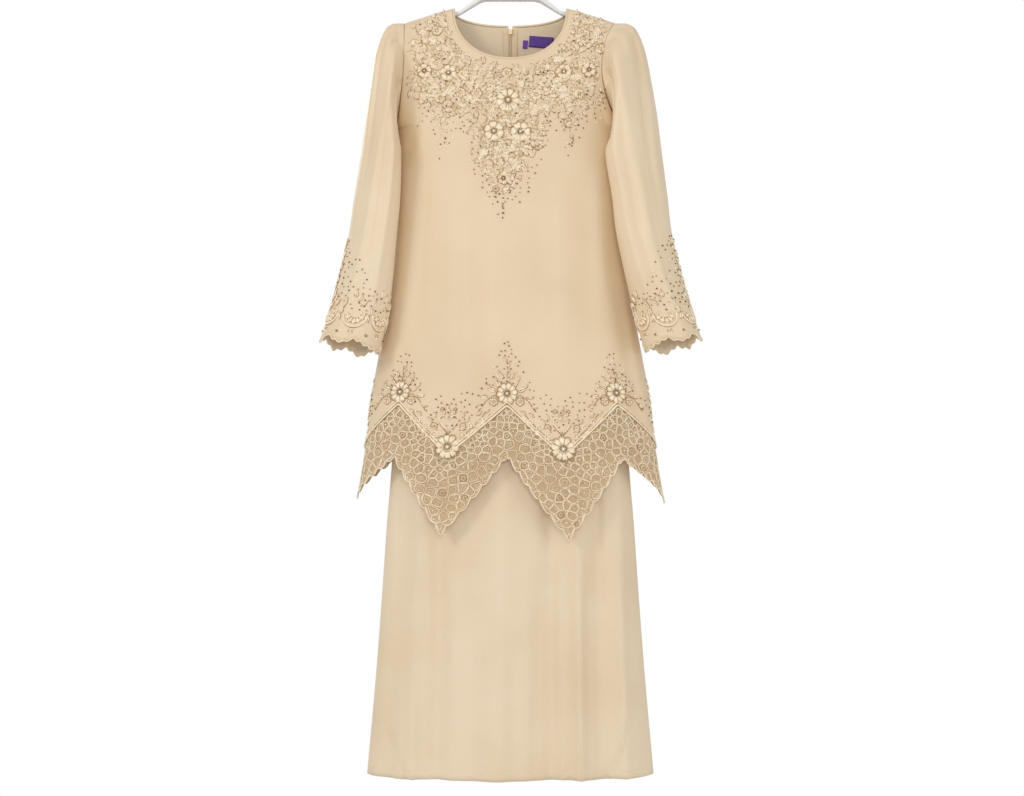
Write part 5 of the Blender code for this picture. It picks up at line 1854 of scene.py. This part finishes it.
def all_looks():
    """Every finish of the set."""
    return {
        "satin": crepe_look("cream_satin_crepe", "#e2caa6", "#e9d3b2"),
        "sleeve": crepe_look("cream_satin_crepe_sleeves", "#e4cca9", "#ebd6b6"),
        "skirt": crepe_look("cream_satin_crepe_skirt", "#e3ccab", "#ead6b8"),
        "cream": thread_look("cream_embroidery_thread", "#f0d8ae", "#fff2d8", 0.34, 0.4, 0.4),
        # Gold couching thread. Its dark brownish gold also paints the shade beside and under the raised
        # cream work.
        "gold": thread_look("dull_gold_thread_and_painted_shade", "#a37f4c", "#c7a36c", 0.40, 0.25, 0.4),
        "lace": thread_look("cream_lace_cord", "#e8d0a8", "#fbeccf", 0.45, 0.35, 0.5),
        "pearl": bead_look("pearl_glass_beads", "#f3e8d2", "#fffaf0", 0.0, 0.16),
        "bronze": bead_look("dark_gold_beads", "#6b4a22", "#a37a42", 0.75, 0.3),
        "net": net_look(),
        "tape": woven_look("cream_zip_tape", "#dcc198", "#ecd3ad", 0.6),
        "elastic": woven_look("elastic_casing_crepe", "#dcc19a", "#ead2ac", 0.8),
        "ribbon": woven_look("satin_ribbon", "#e3cba4", "#f2dfbe", 0.4, 0.35, 0.4),
        "label": woven_look("violet_label_satin", "#3f0f78", "#551c98", 0.4, 0.4, 0.4),
        "tab": woven_look("light_violet_tab_satin", "#5f2796", "#7437ac", 0.4, 0.4, 0.4),
        "nylon": moulded_look("nylon_zip_coil", "#e6d0ab", "#f3e2c4", 3, 0.35),
        "metal": moulded_look("painted_zip_metal", "#cdb083", "#e0c79e", 2, 0.38, 0.5),
        "plastic": moulded_look("moulded_hanger_plastic", "#e9e7e0", "#f7f5f0", 18, 0.33),
        "steel": moulded_look("drawn_hook_steel", "#a6a6a4", "#c9c9c7", 4, 0.22, 1.0),
    }


def dress_frame_nodes(looks):
    """The hard parts keep their own shapes, with a better finish."""
    for name, look in (("hanger_body", "plastic"), ("hanger_hook", "steel"),
                       ("zip_slider", "metal"), ("zip_pull", "metal")):
        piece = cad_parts[name]
        for place_in_list in piece.material_slots:
            place_in_list.material = looks[look]


def label_pieces(looks):
    """The plain label and tab inside the back neck, with a slight ripple."""
    for label, look, slot_name in zip(LABELS, ("label", "tab"), ("label_satin", "tab_satin")):
        turn = math.radians(label.turn)
        rows = []
        for number in range(9):
            down = number / 8 - 0.5
            row = []
            for step in range(17):
                right = 0.5 - step / 16
                x = label.centre + right * label.width * math.cos(turn) \
                    + down * label.height * math.sin(turn)
                depth = label.depth + down * label.height * math.cos(turn) \
                    - right * label.width * math.sin(turn)
                x, y, depth = with_creases("back", surface("back", x, depth))
                ripple = 0.5 + 0.5 * math.sin(step * 0.7 + number * 0.3)
                row.append(place(x, y - CLOTH - 2 * LAYER_GAP - 0.6 * ripple, depth))
            rows.append(row)
        made = cloth_piece(label.name + "_cloth", rows, 0.6, looks[look], [label.name])


def loop_pieces(look):
    """Ribbons that hang the skirt's waistband from the hanger's arms."""
    top = along([(arm.x, arm.top) for arm in HANGER], LOOP_X) - 2 * LAYER_GAP - LOOP
    half_depth = along([(arm.x, arm.half_depth) for arm in HANGER], LOOP_X)
    across = LOOP_X / between(SKIRT, BAND_TOP, "half_width")
    out = (1 - across ** SKIRT[0].power) ** (1 / SKIRT[0].power)
    inset = BAND + LAYER_GAP
    front_y = SKIRT_SEAM_Y - out * between(SKIRT, BAND_TOP, "front") + inset + 2.5
    back_y = SKIRT_SEAM_Y + out * between(SKIRT, BAND_TOP, "back") - inset - 2.5
    side_y = half_depth + LAYER_GAP + LOOP + 0.5
    over = [(-side_y, 6.8), (-side_y + 0.3, 4.4), (-side_y + 1.6, 1.8), (-side_y / 2, 0.4),
            (0, 0), (side_y / 2, 0.4), (side_y - 1.6, 1.8), (side_y - 0.3, 4.4), (side_y, 6.8)]
    path = [(front_y, BAND_TOP + BAND_HEIGHT - 6), (front_y, BAND_TOP), (-side_y, 44)]
    path += [(y, top + drop) for y, drop in over]
    path += [(side_y, 44), (back_y, BAND_TOP), (back_y, BAND_TOP + BAND_HEIGHT - 6)]
    half = LOOP_WIDTH / 2
    tops = [(arm.x, arm.top) for arm in HANGER]
    tilt = along(tops, LOOP_X + half) - along(tops, LOOP_X)
    made = []
    for side, sign in (("left", -1), ("right", 1)):
        rows = []
        for y, depth in path:
            lean = tilt if depth < 40 else 0
            rows.append([place(sign * (LOOP_X + half * share), y, depth + lean * share)
                         for share in (-1, -0.5, 0, 0.5, 1)])
        made.append(cloth_piece("skirt_loop_%s_ribbon" % side, rows, 0.8, look,
                                ["skirt_loop_" + side], turned=side == "right"))
    return made


FLOOR_DEPTH = 1.9               # metres below the rail
FLOOR_RADIUS = 1.3


def stage_floor():
    """A plain pale round floor, well below the hem."""
    bpy.ops.object.select_all(action="DESELECT")
    bpy.ops.mesh.primitive_circle_add(vertices=96, radius=FLOOR_RADIUS, fill_type="NGON",
                                      location=(0, 0, -FLOOR_DEPTH))
    floor = bpy.context.object
    floor.name = "studio_floor"
    bpy.ops.object.transform_apply(location=True)
    floor.select_set(False)
    paper, _, shader, _ = new_look("white_studio_paper", 0.9)
    shader.inputs["Base Color"].default_value = colour("#f7f7f7")
    floor.data.materials.append(paper)


SKY_LIGHT = 0.62                # what the white room gives; the room itself is seen as white
LIT_POINT = Vector((0, 0, -0.75))
Lamp = namedtuple("Lamp", "name place size watts")      # places and sizes in metres
LAMPS = (
    Lamp("key_lamp", (-2.3, -2.2, 0.9), 0.8, 26),
    Lamp("fill_lamp", (2.5, -1.9, -0.1), 1.4, 11),
    Lamp("front_lamp", (0.2, -3.6, -0.1), 0.9, 21),
    Lamp("rear_lamp", (-1.6, 3.0, 0.9), 1.2, 30),
)


def studio_lights():
    """A white room with its lamps, all turned to the middle of the set."""
    world = bpy.data.worlds.new("studio")
    bpy.context.scene.world = world
    world.use_nodes = True
    tree = world.node_tree
    seen = node(tree, "ShaderNodeLightPath").outputs["Is Camera Ray"]
    strength = node(tree, "ShaderNodeMapRange", inputs={"To Min": SKY_LIGHT, "To Max": 1.0},
                    links={"Value": seen})
    back = tree.nodes["Background"]
    back.inputs["Color"].default_value = (1, 1, 1, 1)
    tree.links.new(strength.outputs["Result"], back.inputs["Strength"])
    for lamp in LAMPS:
        light = bpy.data.lights.new(lamp.name, "AREA")
        light.shape = "SQUARE"
        light.size = lamp.size
        light.energy = lamp.watts
        made = bpy.data.objects.new(lamp.name, light)
        made.location = lamp.place
        made.rotation_euler = (LIT_POINT - made.location).to_track_quat("-Z", "Y").to_euler()
        made.visible_camera = False
        bpy.context.scene.collection.objects.link(made)


def set_film():
    """Plain colours, as a catalogue shows them."""
    bpy.context.scene.view_settings.view_transform = "Standard"


CAMERA_PLACE = (0.003, -3.4, -0.805)
LENS = 66.4
SENSOR = 36                     # width; both in millimetres


def set_camera():
    """Straight in front, 3.4 m away, level with the middle of the set."""
    lens = bpy.data.cameras.new("front_camera")
    lens.lens = LENS
    lens.sensor_width = SENSOR
    camera = bpy.data.objects.new("front_camera", lens)
    camera.location = CAMERA_PLACE
    camera.rotation_euler = (math.pi / 2, 0, 0)
    bpy.context.scene.collection.objects.link(camera)
    bpy.context.scene.camera = camera


def embroidery_pieces(name, heaps, looks, cream="cream"):
    """One joined piece of each material, given back as a list."""
    made = []
    for kind, look in (("cream", cream), ("gold", "gold"), ("pearl", "pearl"), ("bronze", "bronze")):
        if heaps[kind]["faces"]:
            made.append(heap_piece("%s_%s" % (name, kind), heaps[kind], looks[look]))
    return made


def main():
    looks = all_looks()
    set_camera()
    set_film()
    stage_floor()
    studio_lights()
    dress_frame_nodes(looks)
    tunic = tunic_pieces(looks["satin"])
    sleeves = {side: sleeve_piece(side, looks["sleeve"]) for side in ("left", "right")}
    skirt = skirt_pieces(looks["skirt"])
    band = waistband_piece(looks["elastic"])
    binding = binding_piece(looks["satin"])
    tapes, coil = zip_pieces(looks["tape"], looks["nylon"])
    label_pieces(looks)
    loop_pieces(looks["ribbon"])
    stitches = skirt_hem_stitches(looks["cream"])

    yoke = embroidery_pieces("yoke", sew_yoke(), looks)
    trims = {half: embroidery_pieces("hem_" + half, sew_hem(half), looks)
             for half in ("front", "back")}
    for half in ("front", "back"):
        rows = lace_ground(half)
        ground = cloth_piece("lace_%s_net" % half, rows, 0.5, looks["net"],
                             ["lace_" + half])
        work = embroidery_pieces("lace_" + half, work_lace(half), looks, "lace")
    cuffs = {side: embroidery_pieces("cuff_" + side, sew_cuff(side), looks)
             for side in ("left", "right")}


main()
